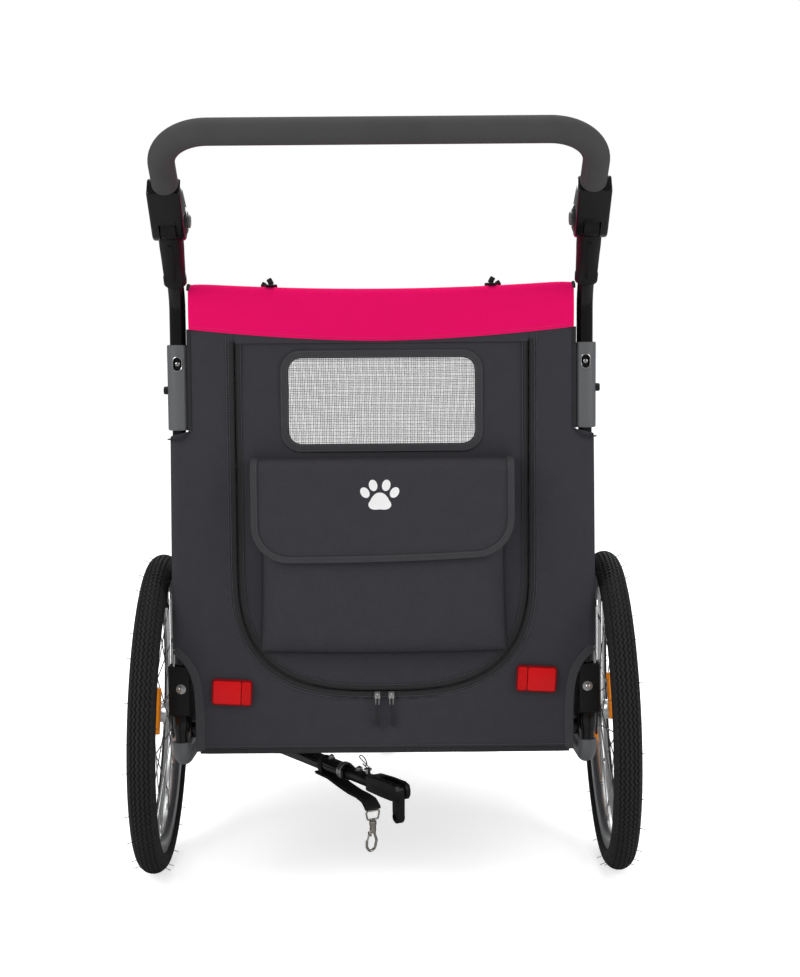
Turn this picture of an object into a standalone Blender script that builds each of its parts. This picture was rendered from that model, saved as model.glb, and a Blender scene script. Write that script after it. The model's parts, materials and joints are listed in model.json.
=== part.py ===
"""Two-in-one pet stroller and bicycle trailer.

Metres, +Z up, +Y towards the stroller's front, +X to the right of a person who pushes it.
The ground is z = 0. Every place below is written from the middle of the wheel axle line, and
the whole object hangs from one empty that puts its bounding box over the origin.
"""
import math

import bmesh
import bpy
from mathutils import Vector

# ---- clearances ----
GAP = 0.0004                # between pieces that touch
RUN_GAP = 0.0004            # radial, between a shaft and its hole

# ---- main wheels ----
TYRE_R = 0.2475
TYRE_W = 0.048
HALF_TRACK = 0.348
CAMBER = math.radians(1.7)
RIM_R = 0.2130              # bead seat
RIM_W = 0.030
RIM_DEPTH = 0.016
HUB_R = 0.016
FLANGE_R = 0.029
FLANGE_X = 0.0165           # flange to wheel centre plane
HUB_IN = 0.0195             # wheel centre plane to the hub's inner end
HUB_OUT = 0.0300
SPOKE_R = 0.0010
SPOKES = 28
AXLE_R = 0.0060
AXLE_Z = TYRE_R * math.cos(CAMBER)
TYRE_WALL = 0.0035
TYRE_REACH = math.radians(108)      # how far round its section the tyre's outside goes
SPOKE_CROSS = math.radians(70)      # each spoke's lead at the hub
SPOKE_HOLE_R = FLANGE_R - 0.0035
WEB = 0.0014                # half the thickness of a hub flange

# ---- cabin ----
REAR_Y = -0.128             # outer face of the rear cloth
FRONT_Y = 0.700             # outer face of the front cloth, where it stands upright
ROOF_FRONT_Y = 0.400
ROOF_FRONT_Z = 0.885
ROOF_REAR_Z = 0.904
ROOF_EDGE_LIFT = 0.010      # the roof's rear corners stand this much above its middle
KNEE_Z = 0.360              # where the front cloth turns from upright to sloping
HEM_Z = 0.215
CABIN_TOP_HALF = 0.2815
CABIN_FLARE = 0.0295        # how much wider each side is at the hem
FLARE_POWER = 2.5
CLOTH = 0.002
SEAM_Z = 0.8275             # lower edge of the roof's rear band
NOTCH_Z = 0.693             # the rear cloth clears the sleeves above this
CORNER_TOP = 0.369          # the cut-outs that show the axle brackets
CORNER_X = 0.2765

# ---- frame tubes ----
UPRIGHT_R = 0.010
UPRIGHT_Y = -0.111
UPRIGHT_TOP_X = 0.3005
UPRIGHT_SPLAY = 0.0100      # sideways per metre of height
SLEEVE_R = 0.0165
SLEEVE_BOTTOM = 0.697
SLEEVE_TOP = 0.823
BOLT_Z = 0.757
STEM_R = 0.012
RAIL_R = 0.0135
RAIL_X = 0.302
RAIL_Z = 0.200
ELBOW_TOP = 0.2268
CROSS_R = 0.0125
CROSS_FRONT_Y = 0.686
CROSS_REAR_Y = -0.085
CROSS_REAR_Z = 0.240
HOOP_R = 0.0095
HOOP_X = 0.268
ROOF_BAR_R = 0.0085
RAIL_BEND = 0.024           # bend radii, to the tube's middle line
HOOP_BEND = 0.050
STEM_BEND = 0.050
STEM_STOP = 0.0305          # pivot to the stem's upper end
SNAP_DROP = 0.028           # sleeve's top to the snap button
SNAP_R = 0.0040
SNAP_LEN = 0.0113
SNAP_SEAT = 0.0045          # the button's inner end, behind the stem's middle

# ---- axle bracket ----
BRACKET_X = 0.3075
BRACKET_W = 0.031
BRACKET_WALL = 0.0025
BRACKET_TOP = 0.344
BRACKET_REAR_Y = -0.127

# ---- handle ----
BEND_Z = 0.887
PIVOT_Y = -0.190
PIVOT_Z = 1.000
PIVOT_R = 0.0265
CHEEK_R = 0.0270
CORE_W = 0.0240             # middle disc of the pivot
CHEEK_W = 0.0115
SOCKET_R = 0.0175
SOCKET_LEN = 0.106
BAR_Y = -0.351
BAR_Z = 1.111
BAR_HALF = 0.2975           # centre to the middle of an arm
HANDLE_CORNER = 0.068
HANDLE_R = 0.011
GRIP_R = 0.01875
GRIP_END = 0.082            # pivot to the foam's end
BUTTON_R = 0.0095
BUTTON_OUT = 0.007
BUTTON_END = 0.0105         # the button's inner end, from the pivot's middle
TUBE_START = 0.047          # pivot to the handle tube's end inside the arm
ARM_HALF = 0.0135           # half the arm's height where the foam starts
CORE_SPACE_R = 0.0320

# ---- rear door, pocket ----
DOOR_HALF = 0.216
DOOR_BOTTOM = 0.306
DOOR_SHOULDER = 0.500       # the door's sides are straight above this
DOOR_POWER = 2.9
DOOR_HINGE_Z = 0.8262
WINDOW_HALF = 0.137
WINDOW_LOW = 0.676
WINDOW_HIGH = 0.802
WINDOW_CORNER = 0.018
POCKET_HALF = 0.182
POCKET_LOW = 0.367
POCKET_HIGH = 0.650
POCKET_DEPTH = 0.0365
FLAP_HALF = 0.193
FLAP_LOW = 0.505
FLAP_CORNER = 0.055

# ---- side and front windows ----
SIDE_WINDOW = (0.020, 0.380, 0.500, 0.800)     # y, y, z, z
FRONT_WINDOW_HALF = 0.200
FRONT_WINDOW = (0.430, 0.835)                  # z, z

# ---- front caster ----
CASTER_R = 0.100
CASTER_W = 0.038
CASTER_Y = 0.820
SWIVEL_Y = 0.855
SWIVEL_R = 0.008
CROWN_Z = 0.212
CROWN_H = 0.020
FORK_WALL = 0.005
MOUNT_W = 0.040
ARM_BACK_Z = (0.188, 0.212)                    # the caster arm's height at the cross tube
ARM_DEEP = 0.026                               # its height over the swivel
CASTER_AXLE_R = 0.0040
CASTER_SEAT = CASTER_R - 0.024                 # the caster tyre's inner radius
CASTER_RUN = 0.004                             # fork to tyre, each side
CASTER_BEAD = 0.78                             # the rim's width, as a share of the tyre's

# ---- tow arm ----
ARM_PIVOT = Vector((-0.300, 0.400, 0.145))
ARM_TIP = Vector((0.023, -0.110, 0.145))
ARM_R = 0.0125
ARM_LEN = (ARM_TIP - ARM_PIVOT).length
ARM_TURN = math.atan2(ARM_TIP.y - ARM_PIVOT.y, ARM_TIP.x - ARM_PIVOT.x)
TUBE_END = ARM_LEN - 0.150
SHANK_R = 0.0108
ARM_PIN_R = 0.005
EAR_HALF = (0.018, 0.024)   # the block under the rail that takes the arm's pin
HEAD_HALF = 0.0145
HEAD_SLOT = 0.0062          # half the fork's slot
TONGUE_BACK = 0.006         # tongue's hinge, back from the arm's tip
TONGUE_RISE = 0.001
TONGUE_DROP = 0.040         # hinge to the hole that takes the bicycle's axle
TONGUE_PIN_R = 0.0036
HEAD_START = ARM_LEN - 0.078
PIN_AT = ARM_LEN - 0.094
PIN_R = 0.004

# The box's ends: the grip behind, the caster's tyre in front.
AXLE_Y = -((CASTER_Y + CASTER_R) + (BAR_Y - GRIP_R)) / 2


def clear_scene():
    for obj in list(bpy.data.objects):
        bpy.data.objects.remove(obj, do_unlink=True)
    for coll in list(bpy.data.collections):
        bpy.data.collections.remove(coll)


clear_scene()
PART = bpy.data.collections.new("pet_stroller")
CUTTERS = bpy.data.collections.new("cutters")
bpy.context.scene.collection.children.link(PART)
bpy.context.scene.collection.children.link(CUTTERS)

# name: colour, roughness, metallic
FINISHES = {
    "gloss_black": ((0.012, 0.012, 0.013), 0.22, 0.0),
    "satin_black": ((0.016, 0.016, 0.017), 0.45, 0.0),
    "grey_plastic": ((0.062, 0.066, 0.070), 0.42, 0.0),
    "foam": ((0.045, 0.045, 0.046), 0.85, 0.0),
    "charcoal_cloth": ((0.042, 0.040, 0.048), 0.90, 0.0),
    "pink_cloth": ((0.780, 0.010, 0.130), 0.75, 0.0),
    "mesh": ((0.020, 0.020, 0.021), 0.80, 0.0),
    "mat": ((0.060, 0.060, 0.066), 0.90, 0.0),
    "tyre": ((0.022, 0.022, 0.023), 0.80, 0.0),
    "alloy": ((0.720, 0.730, 0.740), 0.28, 1.0),
    "steel": ((0.620, 0.620, 0.610), 0.25, 1.0),
    "red_lens": ((0.700, 0.008, 0.008), 0.15, 0.0),
    "webbing": ((0.014, 0.014, 0.015), 0.85, 0.0),
}


def material(finish):
    found = bpy.data.materials.get(finish)
    if found:
        return found
    colour, rough, metal = FINISHES[finish]
    mat = bpy.data.materials.new(finish)
    mat.use_nodes = True
    shader = mat.node_tree.nodes["Principled BSDF"]
    shader.inputs["Base Color"].default_value = (*colour, 1.0)
    shader.inputs["Roughness"].default_value = rough
    shader.inputs["Metallic"].default_value = metal
    return mat


# ---- placing ----

def empty(name, at, turn=(0, 0, 0), parent=None):
    obj = bpy.data.objects.new(name, None)
    obj.empty_display_size = 0.05
    PART.objects.link(obj)
    obj.location = at
    obj.rotation_euler = turn
    obj.parent = parent
    return obj


ROOT = empty("axle_line", (0, AXLE_Y, 0))


def add(name, data, at=(0, 0, 0), turn=(0, 0, 0), parent=None, finish=None):
    obj = bpy.data.objects.new(name, data)
    PART.objects.link(obj)
    obj.location = at
    obj.rotation_euler = turn
    obj.parent = parent or ROOT
    if finish:
        data.materials.append(material(finish))
    return obj


def as_cutter(obj):
    for coll in list(obj.users_collection):
        coll.objects.unlink(obj)
    CUTTERS.objects.link(obj)
    obj.hide_render = True
    obj.display_type = 'WIRE'
    return obj


def boolean(target, other, operation):
    mod = target.modifiers.new(operation.lower(), 'BOOLEAN')
    mod.operation = operation
    mod.object = as_cutter(other)
    mod.solver = 'EXACT'
    return target


def cut(target, *others):
    for other in others:
        boolean(target, other, 'DIFFERENCE')
    return target


def unite(target, *others):
    for other in others:
        boolean(target, other, 'UNION')
    return target


def as_mesh(obj):
    """A curve object's own mesh, caps welded, in a new object of the same name and place."""
    bpy.context.view_layer.update()
    graph = bpy.context.evaluated_depsgraph_get()
    mesh = bpy.data.meshes.new_from_object(obj.evaluated_get(graph))
    bm = bmesh.new()
    bm.from_mesh(mesh)
    bmesh.ops.remove_doubles(bm, verts=bm.verts, dist=0.00001)
    bm.to_mesh(mesh)
    bm.free()
    name, at, turn, parent = obj.name, obj.location.copy(), obj.rotation_euler.copy(), obj.parent
    bpy.data.objects.remove(obj, do_unlink=True)
    mesh.name = name
    return add(name, mesh, at, turn, parent)


# ---- outlines and paths ----

def rounded(points, radius, steps=4, closed=True, skip=()):
    """The points with each corner turned into an arc of the radius; corners in skip stay."""
    pts = [Vector(p) for p in points]
    out = []
    for i, p in enumerate(pts):
        at_end = not closed and i in (0, len(pts) - 1)
        if at_end or i in skip:
            out.append(p)
            continue
        a = (pts[i - 1] - p).normalized()
        b = (pts[(i + 1) % len(pts)] - p).normalized()
        half = a.angle(b) / 2
        if half > math.radians(89.5):
            out.append(p)
            continue
        reach = radius / math.tan(half)
        centre = p + (a + b).normalized() * (radius / math.sin(half))
        start = p + a * reach - centre
        end = p + b * reach - centre
        turn = start.angle(end)
        for k in range(steps + 1):
            t = k / steps
            arc = (start * math.sin((1 - t) * turn) + end * math.sin(t * turn)) / math.sin(turn)
            out.append(centre + arc)
    return out


def door_outline(inset=0.0, top=SEAM_Z):
    """The U of the rear door in x, z: straight sides over a rounded bottom."""
    half = DOOR_HALF - inset
    drop = DOOR_SHOULDER - DOOR_BOTTOM - inset
    points = [(half, top)]
    steps = 21
    for k in range(steps + 1):
        angle = math.pi * k / steps
        side = math.copysign(abs(math.cos(angle)) ** (2 / DOOR_POWER), math.cos(angle))
        down = math.sin(angle) ** (2 / DOOR_POWER)
        points.append((half * side, DOOR_SHOULDER - drop * down))
    points.append((-half, top))
    return points


def rectangle(x0, x1, y0, y1):
    return [(x0, y0), (x1, y0), (x1, y1), (x0, y1)]


# ---- solids ----

def tube(name, points, radius, finish, sides=12, parent=None):
    curve = bpy.data.curves.new(name, 'CURVE')
    curve.dimensions = '3D'
    curve.bevel_depth = radius
    curve.bevel_resolution = (sides - 4) // 2
    curve.use_fill_caps = True
    curve.resolution_u = 1
    curve.render_resolution_u = 0
    spline = curve.splines.new('POLY')
    spline.points.add(len(points) - 1)
    for point, co in zip(spline.points, points):
        point.co = (*co, 1.0)
    return add(name, curve, parent=parent, finish=finish)


PLANES = {
    "XZ": (math.pi / 2, 0, 0),              # outline in x, z; thickness along y
    "YZ": (math.pi / 2, 0, math.pi / 2),    # outline in y, z; thickness along x
    "XY": (0, 0, 0),
}


def plate(name, outline, thickness, plane, at, finish=None, parent=None):
    """A flat outline with a thickness, its middle at the point."""
    curve = bpy.data.curves.new(name, 'CURVE')
    curve.dimensions = '2D'
    curve.fill_mode = 'BOTH'
    curve.extrude = thickness / 2
    curve.resolution_u = 1
    curve.render_resolution_u = 0
    spline = curve.splines.new('POLY')
    spline.points.add(len(outline) - 1)
    for point, co in zip(spline.points, outline):
        point.co = (co[0], co[1], 0.0, 1.0)
    spline.use_cyclic_u = True
    obj = as_mesh(add(name, curve, at, PLANES[plane], parent))
    if finish:
        obj.data.materials.append(material(finish))
    return obj


def box(name, low, high, finish=None, parent=None, bevel=0.0):
    low, high = Vector(low), Vector(high)
    mesh = bpy.data.meshes.new(name)
    bm = bmesh.new()
    bmesh.ops.create_cube(bm, size=1.0)
    bmesh.ops.scale(bm, vec=high - low, verts=bm.verts)
    bm.to_mesh(mesh)
    bm.free()
    obj = add(name, mesh, (low + high) / 2, parent=parent, finish=finish)
    if bevel:
        mod = obj.modifiers.new("bevel", 'BEVEL')
        mod.width = bevel
        mod.segments = 1
    return obj


def rod(name, start, end, radius, finish=None, sides=16, parent=None, tip=None):
    """A straight round bar or cone from start to end; its origin is at start."""
    start, end = Vector(start), Vector(end)
    run = end - start
    mesh = bpy.data.meshes.new(name)
    bm = bmesh.new()
    bmesh.ops.create_cone(bm, cap_ends=True, segments=sides, radius1=radius,
                          radius2=radius if tip is None else tip, depth=run.length)
    bmesh.ops.translate(bm, vec=(0, 0, run.length / 2), verts=bm.verts)
    bm.to_mesh(mesh)
    bm.free()
    mesh.shade_smooth()
    mesh.set_sharp_from_angle(angle=math.radians(40))
    turn = run.to_track_quat('Z', 'Y').to_euler()
    return add(name, mesh, start, turn, parent, finish)


def turned(name, profile, finish=None, steps=24, at=(0, 0, 0), turn=(0, 0, 0), parent=None,
           closed=True):
    """A profile of (radius, height) points spun about the local Z axis."""
    mesh = bpy.data.meshes.new(name)
    bm = bmesh.new()
    verts = [bm.verts.new((r, 0, h)) for r, h in profile]
    count = len(verts) if closed else len(verts) - 1
    for i in range(count):
        bm.edges.new((verts[i], verts[(i + 1) % len(verts)]))
    bm.to_mesh(mesh)
    bm.free()
    obj = add(name, mesh, at, turn, parent, finish)
    mod = obj.modifiers.new("spin", 'SCREW')
    mod.steps = steps
    mod.render_steps = steps
    mod.use_merge_vertices = True
    mod.merge_threshold = 0.00001
    mod.use_smooth_shade = True
    return obj


def cloth(name, shape, columns, rows, finish, thickness=CLOTH, parent=None):
    """A thin closed sheet over a grid; shape(column, row) gives each point of its outer face."""
    mesh = bpy.data.meshes.new(name)
    bm = bmesh.new()
    bmesh.ops.create_grid(bm, x_segments=columns, y_segments=rows, size=1.0)
    for vert in bm.verts:
        column = round((vert.co.x + 1) / 2 * columns)
        row = round((vert.co.y + 1) / 2 * rows)
        vert.co = shape(column, row)
    bm.to_mesh(mesh)
    bm.free()
    obj = add(name, mesh, parent=parent, finish=finish)
    mod = obj.modifiers.new("thickness", 'SOLIDIFY')
    mod.thickness = thickness
    mod.offset = -1.0
    mod.use_even_offset = True
    obj.modifiers.new("triangles", 'TRIANGULATE')
    return obj


def flip(obj):
    """Turn a sheet's outer face round, so that its thickness goes to the other side."""
    bm = bmesh.new()
    bm.from_mesh(obj.data)
    bmesh.ops.reverse_faces(bm, faces=bm.faces)
    bm.to_mesh(obj.data)
    bm.free()
    return obj


# ---- shapes that several pieces share ----

def upright_x(z):
    return UPRIGHT_TOP_X + UPRIGHT_SPLAY * max(0.0, BOLT_Z - z)


def cabin_half(z):
    """Half the cabin's width at a height: the cloth flares from the roof to the hem."""
    share = (ROOF_REAR_Z - z) / (ROOF_REAR_Z - HEM_Z)
    return CABIN_TOP_HALF + CABIN_FLARE * min(1.0, max(0.0, share)) ** FLARE_POWER


def roof_z(x, y):
    back = (ROOF_FRONT_Y - y) / (ROOF_FRONT_Y - REAR_Y)
    lift = ROOF_EDGE_LIFT * (x / CABIN_TOP_HALF) ** 2
    return ROOF_FRONT_Z + back * (ROOF_REAR_Z - ROOF_FRONT_Z + lift)


SLOPE = (ROOF_FRONT_Z - KNEE_Z) / (FRONT_Y - ROOF_FRONT_Y)
SLOPE_LEN = math.hypot(ROOF_FRONT_Z - KNEE_Z, FRONT_Y - ROOF_FRONT_Y)
SLOPE_NORMAL = Vector((0, (ROOF_FRONT_Z - KNEE_Z) / SLOPE_LEN, (FRONT_Y - ROOF_FRONT_Y) / SLOPE_LEN))


def front_y(z):
    """The front cloth's outer face at a height."""
    return FRONT_Y if z <= KNEE_Z else FRONT_Y - (z - KNEE_Z) / SLOPE


SIDES = (("left", -1), ("right", 1))


# ---- frame ----

def frame_tubes():
    for name, s in SIDES:
        foot_x = upright_x(ELBOW_TOP)
        path = [
            (s * foot_x, UPRIGHT_Y, ELBOW_TOP),
            (s * foot_x, UPRIGHT_Y, RAIL_Z),
            (s * RAIL_X, UPRIGHT_Y + 0.080, RAIL_Z),
            (s * RAIL_X, CROSS_FRONT_Y + CROSS_R + 0.004, RAIL_Z),
        ]
        tube(name + "_side_rail", rounded(path, RAIL_BEND, 5, closed=False), RAIL_R, "grey_plastic")

        upright_top = BOLT_Z - 0.006
        upright = [(s * upright_x(ELBOW_TOP), UPRIGHT_Y, ELBOW_TOP + GAP),
                   (s * upright_x(upright_top), UPRIGHT_Y, upright_top)]
        tube(name + "_upright", upright, UPRIGHT_R, "gloss_black")

        hoop = [
            (s * HOOP_X, CROSS_FRONT_Y, RAIL_Z + CROSS_R + GAP),
            (s * HOOP_X, CROSS_FRONT_Y, KNEE_Z - 0.005),
            (s * HOOP_X, ROOF_FRONT_Y - 0.008, ROOF_FRONT_Z - 0.0155),
            (s * HOOP_X, CROSS_REAR_Y, ROOF_REAR_Z - 0.0105),
            (s * HOOP_X, CROSS_REAR_Y, CROSS_REAR_Z + CROSS_R + GAP),
        ]
        tube(name + "_hoop", rounded(hoop, HOOP_BEND, 4, closed=False), HOOP_R, "gloss_black")

    cross_half = RAIL_X - RAIL_R - GAP
    rod("front_cross_tube", (-cross_half, CROSS_FRONT_Y, RAIL_Z),
        (cross_half, CROSS_FRONT_Y, RAIL_Z), CROSS_R, "gloss_black", 12)
    rear_half = BRACKET_X - BRACKET_W / 2 - GAP
    rod("rear_cross_tube", (-rear_half, CROSS_REAR_Y, CROSS_REAR_Z),
        (rear_half, CROSS_REAR_Y, CROSS_REAR_Z), CROSS_R, "gloss_black", 12)
    bar_half = HOOP_X - HOOP_R - GAP
    bar_y = ROOF_FRONT_Y - 0.030
    rod("roof_bar", (-bar_half, bar_y, ROOF_FRONT_Z - 0.0145),
        (bar_half, bar_y, ROOF_FRONT_Z - 0.0145), ROOF_BAR_R, "gloss_black", 12)


def wheel_frame(name, s):
    """An empty on the axle line whose X axis is the wheel's own, pointing right and outwards up."""
    return empty(name + "_wheel_centre", (s * HALF_TRACK, 0, AXLE_Z), (0, -s * CAMBER, 0), ROOT)


def axle_brackets(centres):
    for name, s in SIDES:
        rear = BRACKET_REAR_Y
        outline = [
            (rear, BRACKET_TOP), (-0.097, BRACKET_TOP), (0.000, AXLE_Z + 0.022),
            (0.016, AXLE_Z + 0.006), (0.016, AXLE_Z - 0.008), (0.008, AXLE_Z - 0.020),
            (-0.093, AXLE_Z - 0.020), (-0.099, 0.262), (rear, 0.269),
        ]
        bracket = plate(name + "_axle_bracket", outline, BRACKET_W, "YZ",
                        (s * BRACKET_X, 0, 0), "satin_black")
        inner = BRACKET_W / 2 - BRACKET_WALL
        hollow = box(name + "_channel", (s * BRACKET_X - inner, rear + BRACKET_WALL, 0.20),
                     (s * BRACKET_X + inner, 0.05, 0.40))
        hole = rod(name + "_axle_hole", (-0.080, 0, 0), (0.080, 0, 0), AXLE_R + RUN_GAP,
                   parent=centres[name])
        cut(bracket, hollow, hole)


def axles(centres):
    """The quick-release axle of each wheel, held in its bracket, with a push button outside."""
    for name, s in SIDES:
        inner = HALF_TRACK - BRACKET_X + BRACKET_W / 2 + 0.004
        rod(name + "_wheel_axle", (-s * inner, 0, 0), (s * (HUB_OUT + 0.004), 0, 0), AXLE_R,
            "steel", 16, centres[name])


def sleeves_and_stems():
    back = Vector((0, PIVOT_Y - UPRIGHT_Y, PIVOT_Z - BEND_Z)).normalized()
    for name, s in SIDES:
        x = s * UPRIGHT_TOP_X
        bore = STEM_R + GAP
        profile = [(bore, SLEEVE_TOP), (SLEEVE_R, SLEEVE_TOP), (SLEEVE_R, SLEEVE_BOTTOM),
                   (bore, SLEEVE_BOTTOM)]
        sleeve = turned(name + "_sleeve", profile, "grey_plastic", 24, (x, UPRIGHT_Y, 0))
        snap_z = SLEEVE_TOP - SNAP_DROP
        slot = rod(name + "_slot", (x, UPRIGHT_Y - 0.030, snap_z), (x, UPRIGHT_Y - 0.008, snap_z),
                   0.0055)
        bolt_hole = rod(name + "_bolt_hole", (x, UPRIGHT_Y, BOLT_Z),
                        (x + s * 0.030, UPRIGHT_Y, BOLT_Z), 0.003)
        cut(sleeve, slot, bolt_hole)

        pivot = Vector((x, PIVOT_Y, PIVOT_Z))
        path = [(x, UPRIGHT_Y, BOLT_Z + 0.006), (x, UPRIGHT_Y, BEND_Z), pivot - back * STEM_STOP]
        stem = as_mesh(tube(name + "_stem", rounded(path, STEM_BEND, 5, closed=False), STEM_R,
                            "gloss_black"))
        cut(stem, rod(name + "_snap_hole", (x, UPRIGHT_Y - 0.030, snap_z),
                      (x, UPRIGHT_Y + 0.0005, snap_z), SNAP_R + 0.0003, sides=12))

        turned(name + "_snap_button",
               [(0, SNAP_LEN), (0.0026, SNAP_LEN - 0.0006), (SNAP_R, SNAP_LEN - 0.0025), (SNAP_R, 0),
                (0, 0)],
               "steel", 12, (x, UPRIGHT_Y - SNAP_SEAT, snap_z), (math.pi / 2, 0, 0), closed=False)


def pivots_and_handle():
    back = Vector((0, PIVOT_Y - UPRIGHT_Y, PIVOT_Z - BEND_Z)).normalized()
    reach = Vector((0, BAR_Y - PIVOT_Y, BAR_Z - PIVOT_Z)).normalized()
    across = Vector((0, -reach.z, reach.y))
    tilt = empty("handle_tilt", (0, PIVOT_Y, PIVOT_Z), parent=ROOT)
    for name, s in SIDES:
        x = s * UPRIGHT_TOP_X
        pivot = Vector((x, PIVOT_Y, PIVOT_Z))
        half = CORE_W / 2
        inner_face = pivot - Vector((s * (half + CHEEK_W), 0, 0))

        core = rod(name + "_pivot_base", pivot - Vector((half, 0, 0)), pivot + Vector((half, 0, 0)),
                   PIVOT_R, "gloss_black", 28)
        socket = rod(name + "_socket", pivot - back * SOCKET_LEN, pivot, SOCKET_R, sides=16)
        unite(core, socket)
        for side in (-1, 1):
            face = pivot + Vector((side * (half + 0.0001), 0, 0))
            cut(core, rod(name + "_cheek_space", face, face + Vector((side * 0.02, 0, 0)),
                          CHEEK_R + 0.0010, sides=32))
        cut(core, rod(name + "_socket_bore", pivot - back * (SOCKET_LEN + 0.01),
                      pivot - back * (STEM_STOP - 0.001), STEM_R + GAP, sides=16))
        cut(core, rod(name + "_button_pocket", inner_face, pivot - Vector((s * 0.0045, 0, 0)),
                      BUTTON_R + GAP, sides=20))

        # The arm: a teardrop round the pivot, slotted for the base's core.
        width = CORE_W + 2 * CHEEK_W
        outline = []
        for k in range(13):
            angle = math.pi * k / 12
            point = across * math.cos(angle) * CHEEK_R - reach * math.sin(angle) * CHEEK_R
            outline.append((point.y, point.z))
        end = reach * (GRIP_END - 0.001)
        for side in (-1, 1):
            point = end + across * (ARM_HALF * side)
            outline.append((point.y, point.z))
        arm = plate(name + "_pivot_arm", outline, width, "YZ", (x, 0, 0), "gloss_black", tilt)
        core_space = half + GAP
        cut(arm, rod(name + "_core_space", (x - core_space, 0, 0), (x + core_space, 0, 0),
                     CORE_SPACE_R, sides=32, parent=tilt))
        cut(arm, rod(name + "_tube_bore", Vector((s * BAR_HALF, 0, 0)) + reach * (TUBE_START - 0.001),
                     Vector((s * BAR_HALF, 0, 0)) + reach * 0.100, HANDLE_R + GAP, sides=16,
                     parent=tilt))
        cut(arm, rod(name + "_button_bore", (x - s * 0.030, 0, 0), (x, 0, 0), BUTTON_R + GAP,
                     sides=20, parent=tilt))
        rod(name + "_pivot_button", inner_face - Vector((s * BUTTON_OUT, 0, 0)) - tilt.location,
            pivot - Vector((s * BUTTON_END, 0, 0)) - tilt.location, BUTTON_R, "grey_plastic", 20,
            tilt)

    def bar_path(start):
        return [
            Vector((-BAR_HALF, 0, 0)) + reach * start,
            Vector((-BAR_HALF, BAR_Y - PIVOT_Y, BAR_Z - PIVOT_Z)),
            Vector((BAR_HALF, BAR_Y - PIVOT_Y, BAR_Z - PIVOT_Z)),
            Vector((BAR_HALF, 0, 0)) + reach * start,
        ]

    tube("handle_tube", rounded(bar_path(TUBE_START), HANDLE_CORNER, 6, closed=False), HANDLE_R,
         "gloss_black", parent=tilt)
    grip = tube("handle_grip", rounded(bar_path(GRIP_END), HANDLE_CORNER, 6, closed=False), GRIP_R,
                "foam", 14, tilt)
    grip.data.use_fill_caps = False
    wall = grip.modifiers.new("wall", 'SOLIDIFY')
    wall.thickness = GRIP_R - HANDLE_R - GAP
    wall.offset = -1.0


# ---- wheels ----

def wheel(name, centre):
    """Tyre, rim and laced hub, each turned about the wheel's own axis."""
    lay = (0, math.pi / 2, 0)
    ring = TYRE_R - TYRE_W / 2
    half = TYRE_W / 2
    bead = RIM_W / 2 - 0.003

    outer = []
    for k in range(7):
        angle = TYRE_REACH * (k / 3 - 1)
        outer.append((ring + half * math.cos(angle), -half * math.sin(angle)))
    inside = []
    for k in range(3):
        angle = math.radians(90 - 180 * k / 2)
        inside.append((ring + (half - TYRE_WALL) * math.cos(angle),
                       -(half - TYRE_WALL) * math.sin(angle)))
    foot = RIM_R + GAP
    profile = outer + [(foot, -bead), (foot, -bead + TYRE_WALL)] + inside
    profile += [(foot, bead - TYRE_WALL), (foot, bead)]
    turned(name + "_tyre", profile, "tyre", 48, turn=lay, parent=centre)

    edge = RIM_W / 2
    rim = [
        (RIM_R, edge - 0.0022), (RIM_R, -edge + 0.0022), (RIM_R - 0.006, -edge),
        (RIM_R - RIM_DEPTH, -0.009), (RIM_R - RIM_DEPTH, 0.009), (RIM_R - 0.006, edge),
    ]
    turned(name + "_rim", rim, "alloy", 48, turn=lay, parent=centre)


def hub(name, s, centre):
    """Hub shell with its spokes, laced to stop just short of the rim."""
    lay = (0, math.pi / 2, 0)
    bore = AXLE_R + RUN_GAP
    inner, outer = -s * HUB_IN, s * HUB_OUT
    low, high = min(inner, outer), max(inner, outer)
    fl = FLANGE_X
    profile = [
        (bore, high), (HUB_R * 0.75, high), (HUB_R * 0.75, fl + 0.004), (FLANGE_R, fl + WEB),
        (FLANGE_R, fl - WEB), (HUB_R, fl - 0.004), (HUB_R, -fl + 0.004), (FLANGE_R, -fl + WEB),
        (FLANGE_R, -fl - WEB), (HUB_R * 0.75, -fl - 0.0025), (HUB_R * 0.75, low), (bore, low),
    ]
    shell = turned(name + "_hub", profile, "alloy", 16, turn=lay, parent=centre)
    rim_inner = RIM_R - RIM_DEPTH - 0.0006
    for k in range(SPOKES):
        side = 1 if k % 2 else -1
        lead = 1 if (k // 2) % 2 else -1
        rim_angle = 2 * math.pi * k / SPOKES
        hub_angle = rim_angle + lead * SPOKE_CROSS
        lift = 0.0016 * lead
        start = Vector((side * fl + lift, SPOKE_HOLE_R * math.cos(hub_angle),
                        SPOKE_HOLE_R * math.sin(hub_angle)))
        end = Vector((side * 0.003, rim_inner * math.cos(rim_angle),
                      rim_inner * math.sin(rim_angle)))
        unite(shell, rod("spoke", start, end, SPOKE_R, sides=5, parent=centre))


# ---- cabin cloth ----

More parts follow.
